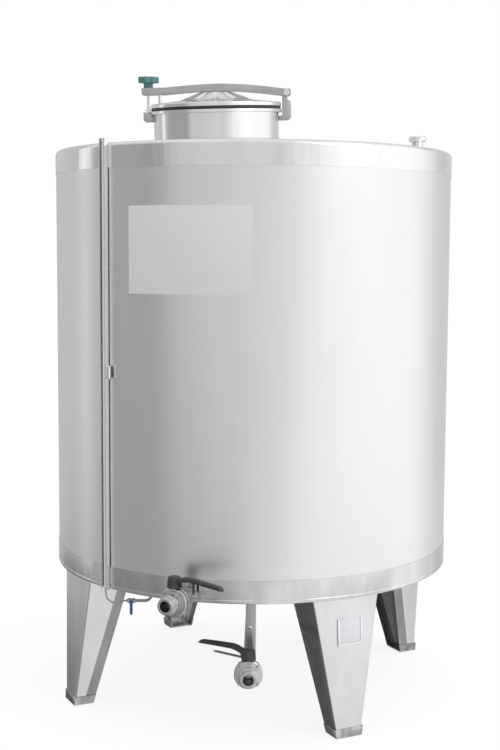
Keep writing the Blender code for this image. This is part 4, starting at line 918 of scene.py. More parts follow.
# %% Vent pipe and cap
vent_low, vent_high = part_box("vent_pipe")
VENT_AT = TANK @ Matrix.Translation(VENT)
vent_profile = rounded([(VENT_R, vent_high.z), (VENT_R, vent_low.z), (VENT_R - SHEET, vent_low.z),
                        (VENT_R - SHEET, vent_high.z)], 0.0005, 2)
piece("vent_pipe_turned", turned(vent_profile, 72), VENT_AT, SKIRT, "polished_steel", "tank", "vent_pipe")
cap_low, cap_top = (corner.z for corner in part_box("vent_cap"))
CAP_R, CAP_END_R = 0.029, 0.0255
cap_in, cap_floor = VENT_R + 0.0004, vent_high.z + GAP
cap_profile = rounded([
    (0, cap_top), (CAP_END_R, cap_top, 0.003), (CAP_R, cap_top - 0.0045, 0.002),
    (CAP_R, cap_low + 0.005, 0.002), (CAP_END_R, cap_low, 0.0015), (cap_in, cap_low), (cap_in, cap_floor),
    (0, cap_floor)], closed=False)
piece("vent_cap_turned", turned(cap_profile, 72), VENT_AT, BRIGHT, "polished_steel", "vent_cap", "vent_cap")
vent_ring = []
for angle in round_angles(48):
    spot = VENT + Vector((cos(angle), sin(angle), 0)) * (VENT_R + 0.0006)
    vent_ring.append(AXIS + Vector((spot.x, spot.y, roof_z(spot.length))))
weld("vent_weld", vent_ring, "tank", width=0.0034, pitch=0.0026, cyclic=True)

# %% [markdown]
# ## Legs, pads and shoes
# Each leg is a channel folded from 3 mm sheet, open towards the tank's axis and tapered in width
# and depth. Its section is rounded at the folds and lofted from foot to top. Two cuts close together
# beside the free edges give the `film` value a sharp place to change: it is 1 under the film and 0
# along the free edges. The first leg's left side is 0 all over, which paints shade on it in the
# uncovered sheet's dark colour.

# %% Legs
LEG_AZIMUTH = radians(26.3)
LEG_SHEET, PAD_SHEET, SHOE_SOLE = 0.003, 0.004, 0.005
FOOT = {"width": 0.084, "depth": 0.063, "face": 0.6525}
TOP = {"width": 0.230, "depth": 0.137, "face": 0.624}
FILM_EDGE, FILM_FADE = 0.034, 0.0008    # where the film ends, and half the width that it fades over


def leg_at(height):
    share = height / BOTTOM_Z
    return [FOOT[key] + (TOP[key] - FOOT[key]) * share for key in ("width", "depth", "face")]


def channel(width, depth, face, wall, bend):
    """A channel's section: open to +Y, with rounded folds, as many points at any size."""
    x, back = width / 2, depth - face
    corners = [(-x, back, 0.0006), (-x, -face, bend), (x, -face, bend), (x, back, 0.0006),
               (x - wall, back, 0.0006), (x - wall, -face + wall, bend / 2),
               (-x + wall, -face + wall, bend / 2), (-x + wall, back, 0.0006)]
    return rounded(corners, steps=4)


def filled_with_film(item, place, bare_side):
    """Stores how far the film covers each corner of a leg; one leg's left side gets 0 all over, as painted
    shade.
    """
    to_leg = place.inverted()
    film = item.data.attributes.new("film", "FLOAT", "POINT")
    for vertex in item.data.vertices:
        spot = to_leg @ vertex.co
        width, depth, face = leg_at(spot.z)
        from_edge = depth - face - spot.y
        bare = bare_side and spot.x < LEG_SHEET + 0.0005 - width / 2
        film.data[vertex.index].value = 1.0 if from_edge >= FILM_EDGE and not bare else 0.0


leg_low = SHOE_SOLE + GAP
leg_high = plate_z - GAP - PAD_SHEET - GAP
leg_rows = [leg_low + (leg_high - leg_low) * i / 8 for i in range(9)]
for number in range(1, 5):
    at = radial(LEG_AZIMUTH + (number - 1) * pi / 2)
    sections = []
    for z in leg_rows:
        width, depth, face = leg_at(z)
        ring = channel(width, depth, face, LEG_SHEET, 0.006)
        sections.append([(x, y, z) for x, y in ring])
    leg = add_object(f"leg_{number}_folded", tidy(ringed(sections), at))
    hand_over(leg, FILMED, "brushed_steel", "tank", f"leg_{number}")
    cutting = bmesh.new()
    cutting.from_mesh(leg.data)
    to_leg = at.inverted()
    for offset in (FILM_EDGE - FILM_FADE, FILM_EDGE + FILM_FADE):
        low_back, high_back = (leg_at(z)[1] - leg_at(z)[2] - offset for z in (leg_low, leg_high))
        slope = Vector((0, leg_high - leg_low, low_back - high_back)).normalized()
        spot, up = at @ Vector((0, low_back, leg_low)), at.to_3x3() @ slope
        everything = [*cutting.verts, *cutting.edges, *cutting.faces]
        bmesh.ops.bisect_plane(cutting, geom=everything, dist=MERGE, plane_co=spot, plane_no=up)
    cutting.to_mesh(leg.data)
    cutting.free()
    # The first leg's left side takes the uncovered sheet's dark colour as painted shade.
    filled_with_film(leg, at, bare_side=number == 1)
    softened(f"leg_pad_{number}", 0.0008, SATIN, "brushed_steel", f"leg_pad_{number}_plate")
    softened(f"foot_shoe_{number}", 0.0006, SHOE, "brushed_steel", f"foot_shoe_{number}_folded")
print("legs", round((leg_high - leg_low) * 1000), "mm tall")

# %% [markdown]
# ## Blank plates
# A steel rail frame on the front leg holds a small card, and a larger plate is fixed to the wall.
# Both stay blank. The wall plate follows the wall, so it is bent to the tank's radius.

# %% Label and sign
softened("label_holder", 0.0005, BRIGHT, "brushed_steel", "label_rails")
softened("label_plate", 0.0003, CARD, "blank_plate", "label_card")
SIGN_FROM, SIGN_TO = radians(-34.8), radians(-0.9)
sign_low, sign_high = (corner.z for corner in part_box("sign_plate"))
SIGN_STEPS, SIGN_SHEET = 72, 0.001
near, far = TANK_R + GAP, TANK_R + GAP + SIGN_SHEET
section = rounded([(near, sign_low), (near, sign_high), (far, sign_high), (far, sign_low)], 0.0004, 3)
sign_rings = []
for i in range(SIGN_STEPS + 1):
    angle = SIGN_FROM + (SIGN_TO - SIGN_FROM) * i / SIGN_STEPS
    sign_rings.append([outward(angle, r, z) for r, z in section])
piece("sign_bent", ringed(sign_rings), TANK, SIGN, "blank_plate", "tank", "sign_plate")

# %% [markdown]
# ## The level gauge
# A clear tube stands in a small folded channel down the front; milk rises in it as high as in the
# vessel. A thin hose joins its foot to a little cock with a blue lever.

# %% Gauge channel, tube and clip
GAUGE_AZIMUTH = radians(-43)
GAUGE = radial(GAUGE_AZIMUTH)
gauge_low, gauge_high = (corner.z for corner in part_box("gauge_channel"))
GAUGE_W, GAUGE_D, GAUGE_SHEET = 0.025, 0.014, 0.0015
back = BAND_R + GAP
side, wall, y = GAUGE_W / 2, GAUGE_SHEET, -back
tips = y - GAUGE_D
channel_outline = rounded([
    (-side, y, 0.0022), (-side, tips, 0.0005), (-side + wall, tips, 0.0005),
    (-side + wall, y - wall, 0.0010), (side - wall, y - wall, 0.0010), (side - wall, tips, 0.0005),
    (side, tips, 0.0005), (side, y, 0.0022)], steps=4)
piece("gauge_rail", lofted(channel_outline, channel_outline, gauge_low, gauge_high), GAUGE, SKIRT,
      "brushed_steel", "tank", "gauge_channel")
TUBE_R, TUBE_WALL = 0.0055, 0.0027
tube_y = -back - GAUGE_SHEET - GAP - TUBE_R
tube_low, tube_high = (corner.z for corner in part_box("gauge_tube"))
tube_profile = rounded([(TUBE_R, tube_high), (TUBE_R, tube_low), (TUBE_R - TUBE_WALL, tube_low),
                        (TUBE_R - TUBE_WALL, tube_high)], 0.0003, 2)
at = GAUGE @ Matrix.Translation((0, tube_y, 0))
piece("sight_tube", turned(tube_profile, 32), at, CLEAR, "clear_hose", "tank", "gauge_tube")
softened("gauge_clip", 0.0042, BRIGHT, "brushed_steel", "gauge_clip_pressed", 5)

# %% Hose, cock and nipple
COCK_STEM_LENGTH, COCK_STEM_R = 0.014, 0.004
lever_back = COCK_STEM_LENGTH + GAP     # from the cock's axis to the lever's near face
COCK = Vector(JOINTS["gauge_cock_turn"]["pos_m"]) + Vector((0, lever_back, 0))
COCK_HALF, HOSE_R = 0.015, 0.0028
start = TANK @ outward(GAUGE_AZIMUTH, -tube_y, tube_low - GAP)
left_end = COCK - Vector((COCK_HALF + GAP, 0, 0))
controls = [
    start - Vector((0, 0, 0.016)), start + Vector((0.006, 0, -0.036)),
    (start + left_end) / 2 + Vector((0, 0, -0.030)), left_end - Vector((0.020, 0, 0.002)),
    left_end - Vector((0.006, 0, 0))]
hose_path = [start, *smooth_path(controls, 12), left_end]
WORLD = Matrix.Identity(4)
piece("gauge_hose_run", swept(hose_path, HOSE_R, 20), WORLD, HOSE, "clear_hose", "tank", "gauge_hose")

END_R, NUT_R, WAIST_R = 0.0055, 0.008, 0.0068
cock_right = [(0, COCK_HALF), (END_R, COCK_HALF, 0.0006), (END_R, 0.011), (NUT_R, 0.0095, 0.001),
              (NUT_R, 0.0045, 0.001), (WAIST_R, 0.0030)]
cock_left = [(point[0], -point[1], *point[2:]) for point in reversed(cock_right)]
cock_profile = rounded([*cock_right, *cock_left], closed=False)
level = Matrix.Translation(COCK) @ Matrix.Rotation(pi / 2, 4, "Y")
cock = add_object("cock_turned", tidy(turned(cock_profile, 48), level))
stem_profile = rounded([(0, COCK_STEM_LENGTH), (COCK_STEM_R, COCK_STEM_LENGTH, 0.0008), (COCK_STEM_R, 0),
                        (0, 0)], closed=False)
stem = add_object("stem", tidy(turned(stem_profile, 32), Matrix.Translation(COCK) @ OUT))
combined(cock, [stem], "UNION")
hand_over(cock, SATIN, "polished_steel", "tank", "gauge_cock_body")
lever_half, lever_tip, lever_sheet = 0.0045, -0.0355, 0.003
lever_outline = [*arc((0, 0), lever_half, 0, pi, 14), *arc((0, lever_tip), lever_half, pi, 2 * pi, 14)]
lever_at = Matrix.Translation(COCK - Vector((0, lever_back + lever_sheet / 2, 0))) @ UPRIGHT
piece("cock_lever_dipped", slab(lever_outline, lever_sheet, 0.0010), lever_at, BLUE, "blue_grip",
      "cock_lever", "gauge_cock_lever")

NIPPLE_R, NIPPLE_WALL, NIPPLE_RUN, NIPPLE_BEND = 0.0045, 0.0010, 0.045, 0.018
right_end = COCK + Vector((COCK_HALF + GAP, 0, 0))
nipple_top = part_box("gauge_nipple")[1].z
corner = right_end + Vector((NIPPLE_RUN, 0, 0))
nipple_path = [right_end, *elbow(corner, (1, 0, 0), (0, 0, 1), NIPPLE_BEND),
               Vector((corner.x, corner.y, nipple_top))]
piece("nipple_pipe", swept(nipple_path, NIPPLE_R, 24, NIPPLE_WALL), WORLD, TUBING, "brushed_steel", "tank",
      "gauge_nipple")
NIPPLE_AXIS = corner.copy()

# %% [markdown]
# ## Milk valves
# Outlet and drain end in the same butterfly valve: two turned halves bolted round a rubber seal, a
# disc on an upright stem, and a round-threaded nozzle. One function makes everything that a valve
# shares, so both stay alike, and it is given the places and bodies that differ.

# %% Thread and bolt trees
def thread_tree():
    """A round-section ridge carried along a helix."""
    tree, inputs, output = new_tree(
        "round_thread", ("Turns", "Float", 3.0), ("Radius", "Float", 0.025), ("Height", "Float", 0.018),
        ("Ridge", "Float", 0.002), ("Finish", "Material", None))
    helix = node(tree, "GeometryNodeCurveSpiral", Resolution=72)
    ridge = node(tree, "GeometryNodeCurvePrimitiveCircle", Resolution=14)
    body = tree.nodes.new("GeometryNodeCurveToMesh")
    body.inputs["Fill Caps"].default_value = True
    wire(tree, (inputs.outputs["Turns"], helix.inputs["Rotations"]),
         (inputs.outputs["Radius"], helix.inputs["Start Radius"]),
         (inputs.outputs["Radius"], helix.inputs["End Radius"]),
         (inputs.outputs["Height"], helix.inputs["Height"]),
         (inputs.outputs["Ridge"], ridge.inputs["Radius"]),
         (helix.outputs["Curve"], body.inputs["Curve"]),
         (ridge.outputs["Curve"], body.inputs["Profile Curve"]))
    ended(tree, body.outputs["Mesh"], inputs, output)
    return tree


def bolt_tree():
    """The object's own mesh, a bolt, set out on a circle about local Z."""
    tree, inputs, output = new_tree(
        "bolt_circle", ("Count", "Int", 4), ("Circle", "Float", 0.035), ("Turn", "Float", 0.0),
        ("Finish", "Material", None))
    circle = tree.nodes.new("GeometryNodeMeshCircle")
    place = tree.nodes.new("GeometryNodeInstanceOnPoints")
    turn = node(tree, "ShaderNodeCombineXYZ")
    swing = tree.nodes.new("GeometryNodeTransform")
    wire(tree, (inputs.outputs["Count"], circle.inputs["Vertices"]),
         (inputs.outputs["Circle"], circle.inputs["Radius"]),
         (circle.outputs["Mesh"], swing.inputs["Geometry"]),
         (inputs.outputs["Turn"], turn.inputs["Z"]), (turn.outputs[0], swing.inputs["Rotation"]),
         (swing.outputs["Geometry"], place.inputs["Points"]),
         (inputs.outputs["Geometry"], place.inputs["Instance"]))
    ended(tree, place.outputs["Instances"], inputs, output)
    return tree


THREAD_TREE, BOLT_TREE = thread_tree(), bolt_tree()

# %% Valve bodies
PIPE_R, PIPE_WALL, BORE = 0.0175, 0.0015, 0.016
BODY_R, BODY_HALF, SEAL_HALF, TAIL = 0.043, 0.012, 0.002, 0.042
STEP_R, BOLT_CIRCLE = 0.0350, 0.0388
NOZZLE_R, COLLAR_R, NOZZLE_LENGTH = 0.0265, 0.029, 0.060
PITCH, TURNS, RIDGE_R = 0.0062, 3, 0.0019
STEM_R = 0.006


def stem_cutter(at):
    """The upright hole through the top of a valve's body."""
    return post(STEM_R + GAP, BORE / 2, 0.06, at, 32)


def stained(item, out):
    """Gives the faces of the bore a darker second finish: painted shade for the dark inside of the bore."""
    item.data.materials.append(DULL)
    to_axis = out.inverted()
    for face in item.data.polygons:
        inside = (to_axis @ face.center).xy.length < BORE + 0.0004
        face.material_index = 1 if inside else 0


def valve_bodies(name, at):
    """Both halves, seal, thread and bolts of a valve; `at` has -Y out through its nozzle."""
    out = at @ OUT
    end = NOZZLE_LENGTH
    thread_low = end - 0.003 - TURNS * PITCH
    core = NOZZLE_R - 0.0020
    step = BODY_HALF + 0.0035
    front = rounded([
        (BORE, end, 0.0012), (NOZZLE_R - 0.003, end, 0.0008), (core, end - 0.0015),
        (core, thread_low - 0.0012), (COLLAR_R, thread_low - 0.0030, 0.0008),
        (COLLAR_R, BODY_HALF + 0.009, 0.001), (COLLAR_R - 0.002, step, 0.0015), (STEP_R, step, 0.0010),
        (STEP_R, BODY_HALF, 0.0006), (BODY_R - 0.0022, BODY_HALF, 0.001),
        (BODY_R, BODY_HALF - 0.0022, 0.0010), (BODY_R, SEAL_HALF + GAP, 0.0006), (BORE, SEAL_HALF + GAP)])
    rear = rounded([
        (BORE, -SEAL_HALF - GAP), (BODY_R, -SEAL_HALF - GAP, 0.0006), (BODY_R, -BODY_HALF + 0.003, 0.0012),
        (BODY_R - 0.006, -BODY_HALF, 0.001), (PIPE_R + 0.006, -BODY_HALF - 0.008, 0.003),
        (PIPE_R, -BODY_HALF - 0.014, 0.003), (PIPE_R, -TAIL), (BORE, -TAIL)])
    front_half = add_object(f"{name}_front_half", tidy(turned(front), out))
    helix = add_object(f"{name}_thread", bmesh.new())
    grown(helix, THREAD_TREE, Turns=float(TURNS) - 0.1, Radius=core, Height=TURNS * PITCH - 0.003,
          Ridge=RIDGE_R, Finish=CAST)
    helix.data.transform(out @ Matrix.Translation((0, 0, thread_low + 0.0012)))
    combined(front_half, [stem_cutter(at)], "DIFFERENCE")
    hand_over(front_half, CAST, "polished_steel", "tank", f"{name}_valve_front")
    stained(front_half, out)
    hand_over(helix, CAST, "polished_steel", "tank")
    rear_half = add_object(f"{name}_rear_half", tidy(turned(rear), out))
    combined(rear_half, [stem_cutter(at)], "DIFFERENCE")
    hand_over(rear_half, CAST, "polished_steel", "tank", f"{name}_valve_rear")
    stained(rear_half, out)
    seal_profile = rounded([(BODY_R - 0.002, SEAL_HALF), (BODY_R - 0.002, -SEAL_HALF), (BORE, -SEAL_HALF),
                            (BORE, SEAL_HALF)], 0.0008, 3)
    seal = add_object(f"{name}_seal_ring", tidy(turned(seal_profile, 72), out))
    combined(seal, [stem_cutter(at)], "DIFFERENCE")
    hand_over(seal, RUBBER, "black_rubber", "tank", f"{name}_seal")

    head = hexagon(0.0075, 0, 0.0046, 0.0008)
    washer_r, washer_top, washer_low = 0.0040, 0.0001, -0.0008
    washer_profile = [(0, washer_top), (washer_r, washer_top), (washer_r, washer_low), (0, washer_low)]
    washer = turned(washer_profile, 24)
    for side, label in ((1, "bolts"), (-1, "nuts")):
        bolt = add_object(f"{name}_{label}", tidy(head.copy()))
        if side > 0:
            disc = add_object("washer", tidy(washer.copy()))
            combined(bolt, [disc], "UNION")
        grown(bolt, BOLT_TREE, Count=4, Circle=BOLT_CIRCLE, Turn=pi / 4, Finish=SATIN)
        flipped = Matrix.Identity(4) if side > 0 else Matrix.Rotation(pi, 4, "X")
        bolt.data.transform(out @ flipped @ Matrix.Translation((0, 0, BODY_HALF + 0.0004)))
        hand_over(bolt, SATIN, "brushed_steel", "tank")
    head.free()
    washer.free()


# %% [markdown]
# The lever is a moulded handle: a faceted hub that grips the stem, rising into a long tapered grip
# with an oblique end. Its grip is a loft through rounded sections, which keeps one smooth skin along
# the bend, where a bent block would show corners.

# %% Lever, disc and trigger
HUB_R, HUB_TOP, HANDLE_LENGTH, HANDLE_DROP = 0.021, 0.076, 0.184, 0.008
HUB_BASE = BODY_R + GAP
TRIGGER_Z, TRIGGER_LENGTH, TRIGGER_SHEET = 0.0470, 0.105, 0.003
PRONG_Y, PRONG_SHEET, EAR_WIDTH = 0.0092, 0.0028, 0.0060


def grip_section(width, height, steps=4):
    return rounded([(-width / 2, -height / 2), (width / 2, -height / 2), (width / 2, height / 2),
                    (-width / 2, height / 2)], min(width, height) * 0.32, steps)


def handle_piece(name, lever, prongs):
    """Hub and grip in one, along the lever frame's +X."""
    stations = [(0.004, HUB_TOP - 0.0130, 0.026, 0.017), (0.014, HUB_TOP - 0.0125, 0.023, 0.017),
                (0.026, HUB_TOP - 0.0085, 0.021, 0.0155), (0.042, HUB_TOP - 0.0035, 0.021, 0.0150),
                (0.056, HUB_TOP - 0.0012, 0.021, 0.0145), (0.090, HUB_TOP - 0.0024, 0.0205, 0.0135),
                (0.130, HUB_TOP - 0.0046, 0.0190, 0.0125), (0.166, HUB_TOP - 0.0070, 0.0175, 0.0115)]
    rings = []
    for x, z, width, height in stations:
        rings.append([(x, y, z + up) for y, up in grip_section(width, height)])
    rings.append([(HANDLE_LENGTH - 0.006 - up * 0.9, y, HUB_TOP - HANDLE_DROP + up)
                  for y, up in grip_section(0.0165, 0.0105)])
    grip = add_object(f"{name}_lever_moulded", tidy(ringed(rings), lever))
    hub_profile = [(HUB_R, HUB_BASE), (HUB_R * 0.99, HUB_BASE + 0.012), (HUB_R * 0.90, HUB_TOP - 0.006),
                   (HUB_R * 0.80, HUB_TOP - 0.0018), (HUB_R * 0.66, HUB_TOP - 0.0004)]
    hub_rings = []
    for r, z in hub_profile:
        corner = r / cos(pi / 8)
        eight = [(corner * cos(a), corner * sin(a)) for a in (pi / 8 + pi / 4 * i for i in range(8))]
        outline = rounded([(min(max(x, -r), r), y) for x, y in eight], 0.0035, 3)
        hub_rings.append([(x, y, z) for x, y in outline])
    hub = add_object("hub", tidy(ringed(hub_rings), lever))
    extras = [hub]
    prong_low, prong_high = TRIGGER_Z - 0.009, HUB_TOP - 0.005
    prong_outline = rounded([(0.0785, prong_low), (0.0850, prong_low), (0.0870, prong_high),
                             (0.0765, prong_high)], 0.0012, 3)
    for side in (-1, 1) if prongs else ():
        prong_at = lever @ Matrix.Translation((0, side * PRONG_Y, 0)) @ UPRIGHT
        extras.append(add_object("prong", tidy(slab(prong_outline, PRONG_SHEET, 0.0005), prong_at)))
    ear_low, ear_high = TRIGGER_Z + 0.0020, HUB_TOP - 0.012
    ear_outline = rounded([(0.0205, ear_low), (0.0272, ear_low), (0.0272, ear_high),
                           (0.0185, ear_high)], 0.001, 3)
    extras.append(add_object("ear", tidy(slab(ear_outline, EAR_WIDTH), lever @ UPRIGHT)))
    combined(grip, extras, "UNION")
    socket = post(STEM_R + GAP, 0.0, HUB_TOP - 0.0077, lever, 32)
    combined(grip, [socket], "DIFFERENCE")
    hand_over(grip, BLACK, "black_plastic", f"{name}_lever", f"{name}_handle")


def disc_piece(name, lever, at):
    half, edge_half, edge_r = 0.0025, 0.0008, BORE - 0.0008
    disc = rounded([(0, half), (BORE - 0.003, half, 0.001), (edge_r, edge_half, 0.0006),
                    (edge_r, -edge_half, 0.0006), (BORE - 0.003, -half, 0.001), (0, -half)], closed=False)
    made = add_object(f"{name}_disc_turned", tidy(turned(disc, 72), at @ OUT))
    stem_profile = rounded([(0, HUB_TOP - 0.008), (STEM_R, HUB_TOP - 0.008, 0.0008), (STEM_R, BORE - 0.003),
                            (0, BORE - 0.003)], closed=False)
    stem = add_object("stem", tidy(turned(stem_profile, 32), at))
    combined(made, [stem], "UNION")
    hand_over(made, BRIGHT, "polished_steel", f"{name}_lever", f"{name}_disc")


def trigger_piece(name, lever):
    """The squeezed strip: flat sheet that narrows to its tip."""
    low_x, half = HUB_R + 0.002, 0.007
    tip, tip_half = low_x + TRIGGER_LENGTH, 0.0025
    taper = tip - 0.012
    outline = rounded([(low_x, -half, 0.002), (taper, -half, 0.006), (tip, -tip_half, 0.0020),
                       (tip, tip_half, 0.0020), (taper, half, 0.006), (low_x, half, 0.002)])
    at = lever @ Matrix.Translation((0, 0, TRIGGER_Z))
    piece(f"{name}_squeeze_strip", slab(outline, TRIGGER_SHEET, 0.0007), at, SATIN, "brushed_steel",
          f"{name}_trigger", f"{name}_trigger")


# %% Both valves in place
OUTLET_AZIMUTH = radians(-25)
outlet_place = Vector(JOINTS["outlet_valve_turn"]["pos_m"])
OUTLET = Matrix.Translation(outlet_place) @ Matrix.Rotation(OUTLET_AZIMUTH, 4, "Z")
drain_place = Vector(JOINTS["drain_valve_turn"]["pos_m"])
DRAIN_RUN = (AXIS - drain_place).xy.length
drain_azimuth = atan2(drain_place.x - AXIS.x, AXIS.y - drain_place.y)
DRAIN = Matrix.Translation(drain_place) @ Matrix.Rotation(drain_azimuth, 4, "Z")
HANDLE_TURNS = {"outlet": radians(-15), "drain": radians(-214)}   # about the stem, at rest
for name, at in (("outlet", OUTLET), ("drain", DRAIN)):
    lever = at @ Matrix.Rotation(HANDLE_TURNS[name], 4, "Z")
    valve_bodies(name, at)
    handle_piece(name, lever, prongs=name == "outlet")
    disc_piece(name, lever, at)
    trigger_piece(name, lever)
print("valves at", [tuple(round(v, 3) for v in at.translation) for at in (OUTLET, DRAIN)])

# %% Milk pipes and their welds
OUTLET_CORNER = Vector((0, 0.240, 0))
PIPE_BEND = 0.040


def milk_pipe(name, at, corner, top):
    run = [Vector((0, TAIL + GAP, 0)), *elbow(corner, (0, 1, 0), (0, 0, 1), PIPE_BEND, 16),
           Vector((corner.x, corner.y, top - at.translation.z))]
    piece(f"{name}_milk_pipe", swept(run, PIPE_R, 48, PIPE_WALL), at, TUBING, "brushed_steel", "tank",
          f"{name}_pipe")
    joint = [at @ Vector((PIPE_R * cos(a), TAIL, PIPE_R * sin(a))) for a in round_angles(40)]
    weld(f"{name}_pipe_weld", joint, "tank", width=0.0028, pitch=0.0024, cyclic=True)
    return at @ corner


outlet_corner = milk_pipe("outlet", OUTLET, OUTLET_CORNER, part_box("outlet_pipe")[1].z)
drain_corner = milk_pipe("drain", DRAIN, Vector((0, DRAIN_RUN, 0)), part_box("drain_pipe")[1].z)
drain_ring = [Vector((drain_corner.x + PIPE_R * cos(a), drain_corner.y + PIPE_R * sin(a), plate_z))
              for a in round_angles(40)]
weld("drain_base_weld", drain_ring, "tank", width=0.0034, pitch=0.0026, cyclic=True)

# %% The flat strap that hangs the drain pipe from the base
STRAP_X, STRAP_BEHIND, STRAP_LOW, STRAP_WIDTH, STRAP_SHEET = 0.006, 0.085, -0.003, 0.030, 0.004
STRAP_BOLT = 0.117            # over the pipe's axis
strap_high = plate_z - GAP - DRAIN.translation.z
left, right = STRAP_X - STRAP_WIDTH / 2, STRAP_X + STRAP_WIDTH / 2
strap_outline = rounded([(left, STRAP_LOW), (right, STRAP_LOW), (right, strap_high),
                         (left, strap_high)], 0.0010, 3)
strap_at = DRAIN @ Matrix.Translation((0, STRAP_BEHIND, 0)) @ UPRIGHT
strap = add_object("drain_strap", tidy(slab(strap_outline, STRAP_SHEET, 0.0006), strap_at))
pipe_run = [(0, STRAP_BEHIND - 0.02, 0), (0, STRAP_BEHIND + 0.02, 0)]
pipe_way = add_object("way", tidy(swept(pipe_run, PIPE_R, 48), DRAIN))
combined(strap, [pipe_way], "DIFFERENCE")
hand_over(strap, SATIN, "brushed_steel", "tank")
strap_bolt = hexagon(0.010, 0, 0.0055, 0.0010)
bolt_at = DRAIN @ Matrix.Translation((STRAP_X - 0.003, STRAP_BEHIND - STRAP_SHEET / 2, STRAP_BOLT)) @ OUT
piece("strap_bolt", strap_bolt, bolt_at, BRIGHT, "brushed_steel", "tank")

# %% Vessel with its holes
def run_cutter(points, radius):
    return add_object("cutter", tidy(swept(points, radius + GAP, 32)))


vessel = add_object("milk_vessel", tidy(turned(vessel_profile, 192), TANK))
holes = [
    post(NECK_R + GAP, -0.3, 0.3, MANWAY),
    post(VENT_R + GAP, 1.6, 1.9, VENT_AT, 48),
    run_cutter([NIPPLE_AXIS, NIPPLE_AXIS + Vector((0, 0, 0.4))], NIPPLE_R),
    run_cutter([outlet_corner, outlet_corner + Vector((0, 0, 0.4))], PIPE_R),
    run_cutter([drain_corner, drain_corner + Vector((0, 0, 0.6))], PIPE_R)]
combined(vessel, holes, "DIFFERENCE")
hand_over(vessel, VESSEL, "brushed_steel", "tank", "inner_vessel")

# %% [markdown]
# ## Solids that stay as they were packed
# The foam is hidden between the sheets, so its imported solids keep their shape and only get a
# finish. Looping over every node makes sure that none is left with a flat colour.

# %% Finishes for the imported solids
FINISHES = {"brushed_steel": SATIN, "polished_steel": BRIGHT, "insulation_foam": FOAM,
            "black_rubber": RUBBER, "black_plastic": BLACK, "teal_plastic": TEAL, "blue_grip": BLUE,
            "clear_hose": CLEAR, "blank_plate": SIGN}
left = []
for name, item in frame["nodes"].items():
    for used in item.material_slots:
        base = used.material.name.split(".")[0] if used.material else "brushed_steel"
        used.material = FINISHES.get(base, SATIN)
    if not item.hide_render:
        left.append(name)
print("packed solids still shown:", ", ".join(left))

# %% [markdown]
# ## A pale studio
# Polished steel has hardly any look of its own; it shows the room. So the room is made first: a
# world whose brightness depends on the direction, soft grey to the left, white to the right, with
# a few narrow strips that turn into streaks on the skirts. Lamps could make the same gradients,
# but only as patches with edges. What the camera sees directly stays plain white.

# %% World
ROOM_PEAK, OVERHEAD = 1.3, 0.95
LOW_FADE = (-0.225, -0.275)        # heights of a direction between which the low stops take over
OVERHEAD_FADE = (0.35, 0.95)       # and between which the even ceiling does
LEVEL_ROOM = [                     # (azimuth in degrees, brightness)
    (-180, 0.50), (-166, 0.56), (-153, 0.64), (-136, 0.65), (-123, 0.56), (-117, 0.62), (-113, 1.15),
    (-109, 1.10), (-104, 0.60), (-93, 0.42), (-70, 0.42), (-56, 0.40), (-44, 0.58), (-31, 0.62),
    (-16, 0.67), (0, 0.70), (12, 0.72), (26, 0.98), (43, 1.18), (60, 1.25), (97, 1.22), (112, 1.15),
    (122, 0.84), (134, 0.68), (150, 0.70), (168, 0.74), (180, 0.50)]
LOW_ROOM = [
    (-180, 0.25), (-136, 0.18), (-123, 0.20), (-112, 0.38), (-100, 0.48), (-94, 0.50), (-85, 0.30),
    (-70, 0.36), (-56, 0.28), (-31, 0.40), (-16, 0.43), (-2, 0.64), (13, 0.95), (28, 1.02), (43, 0.94),
    (59, 1.00), (77, 0.85), (97, 1.15), (120, 0.90), (150, 0.60), (180, 0.25)]


def around(tree, share, stops):
    """Brightness by azimuth, as a ramp's colour."""
    ramp = node(tree, "ShaderNodeValToRGB")
    points = ramp.color_ramp.elements
    while len(points) < len(stops):
        points.new(0.5)
    for point, (azimuth, level) in zip(points, stops):
        point.position = azimuth / 360 + 0.5
        point.color = (level / ROOM_PEAK, level / ROOM_PEAK, level / ROOM_PEAK, 1)
    tree.links.new(share, ramp.inputs["Fac"])
    return ramp.outputs["Color"]


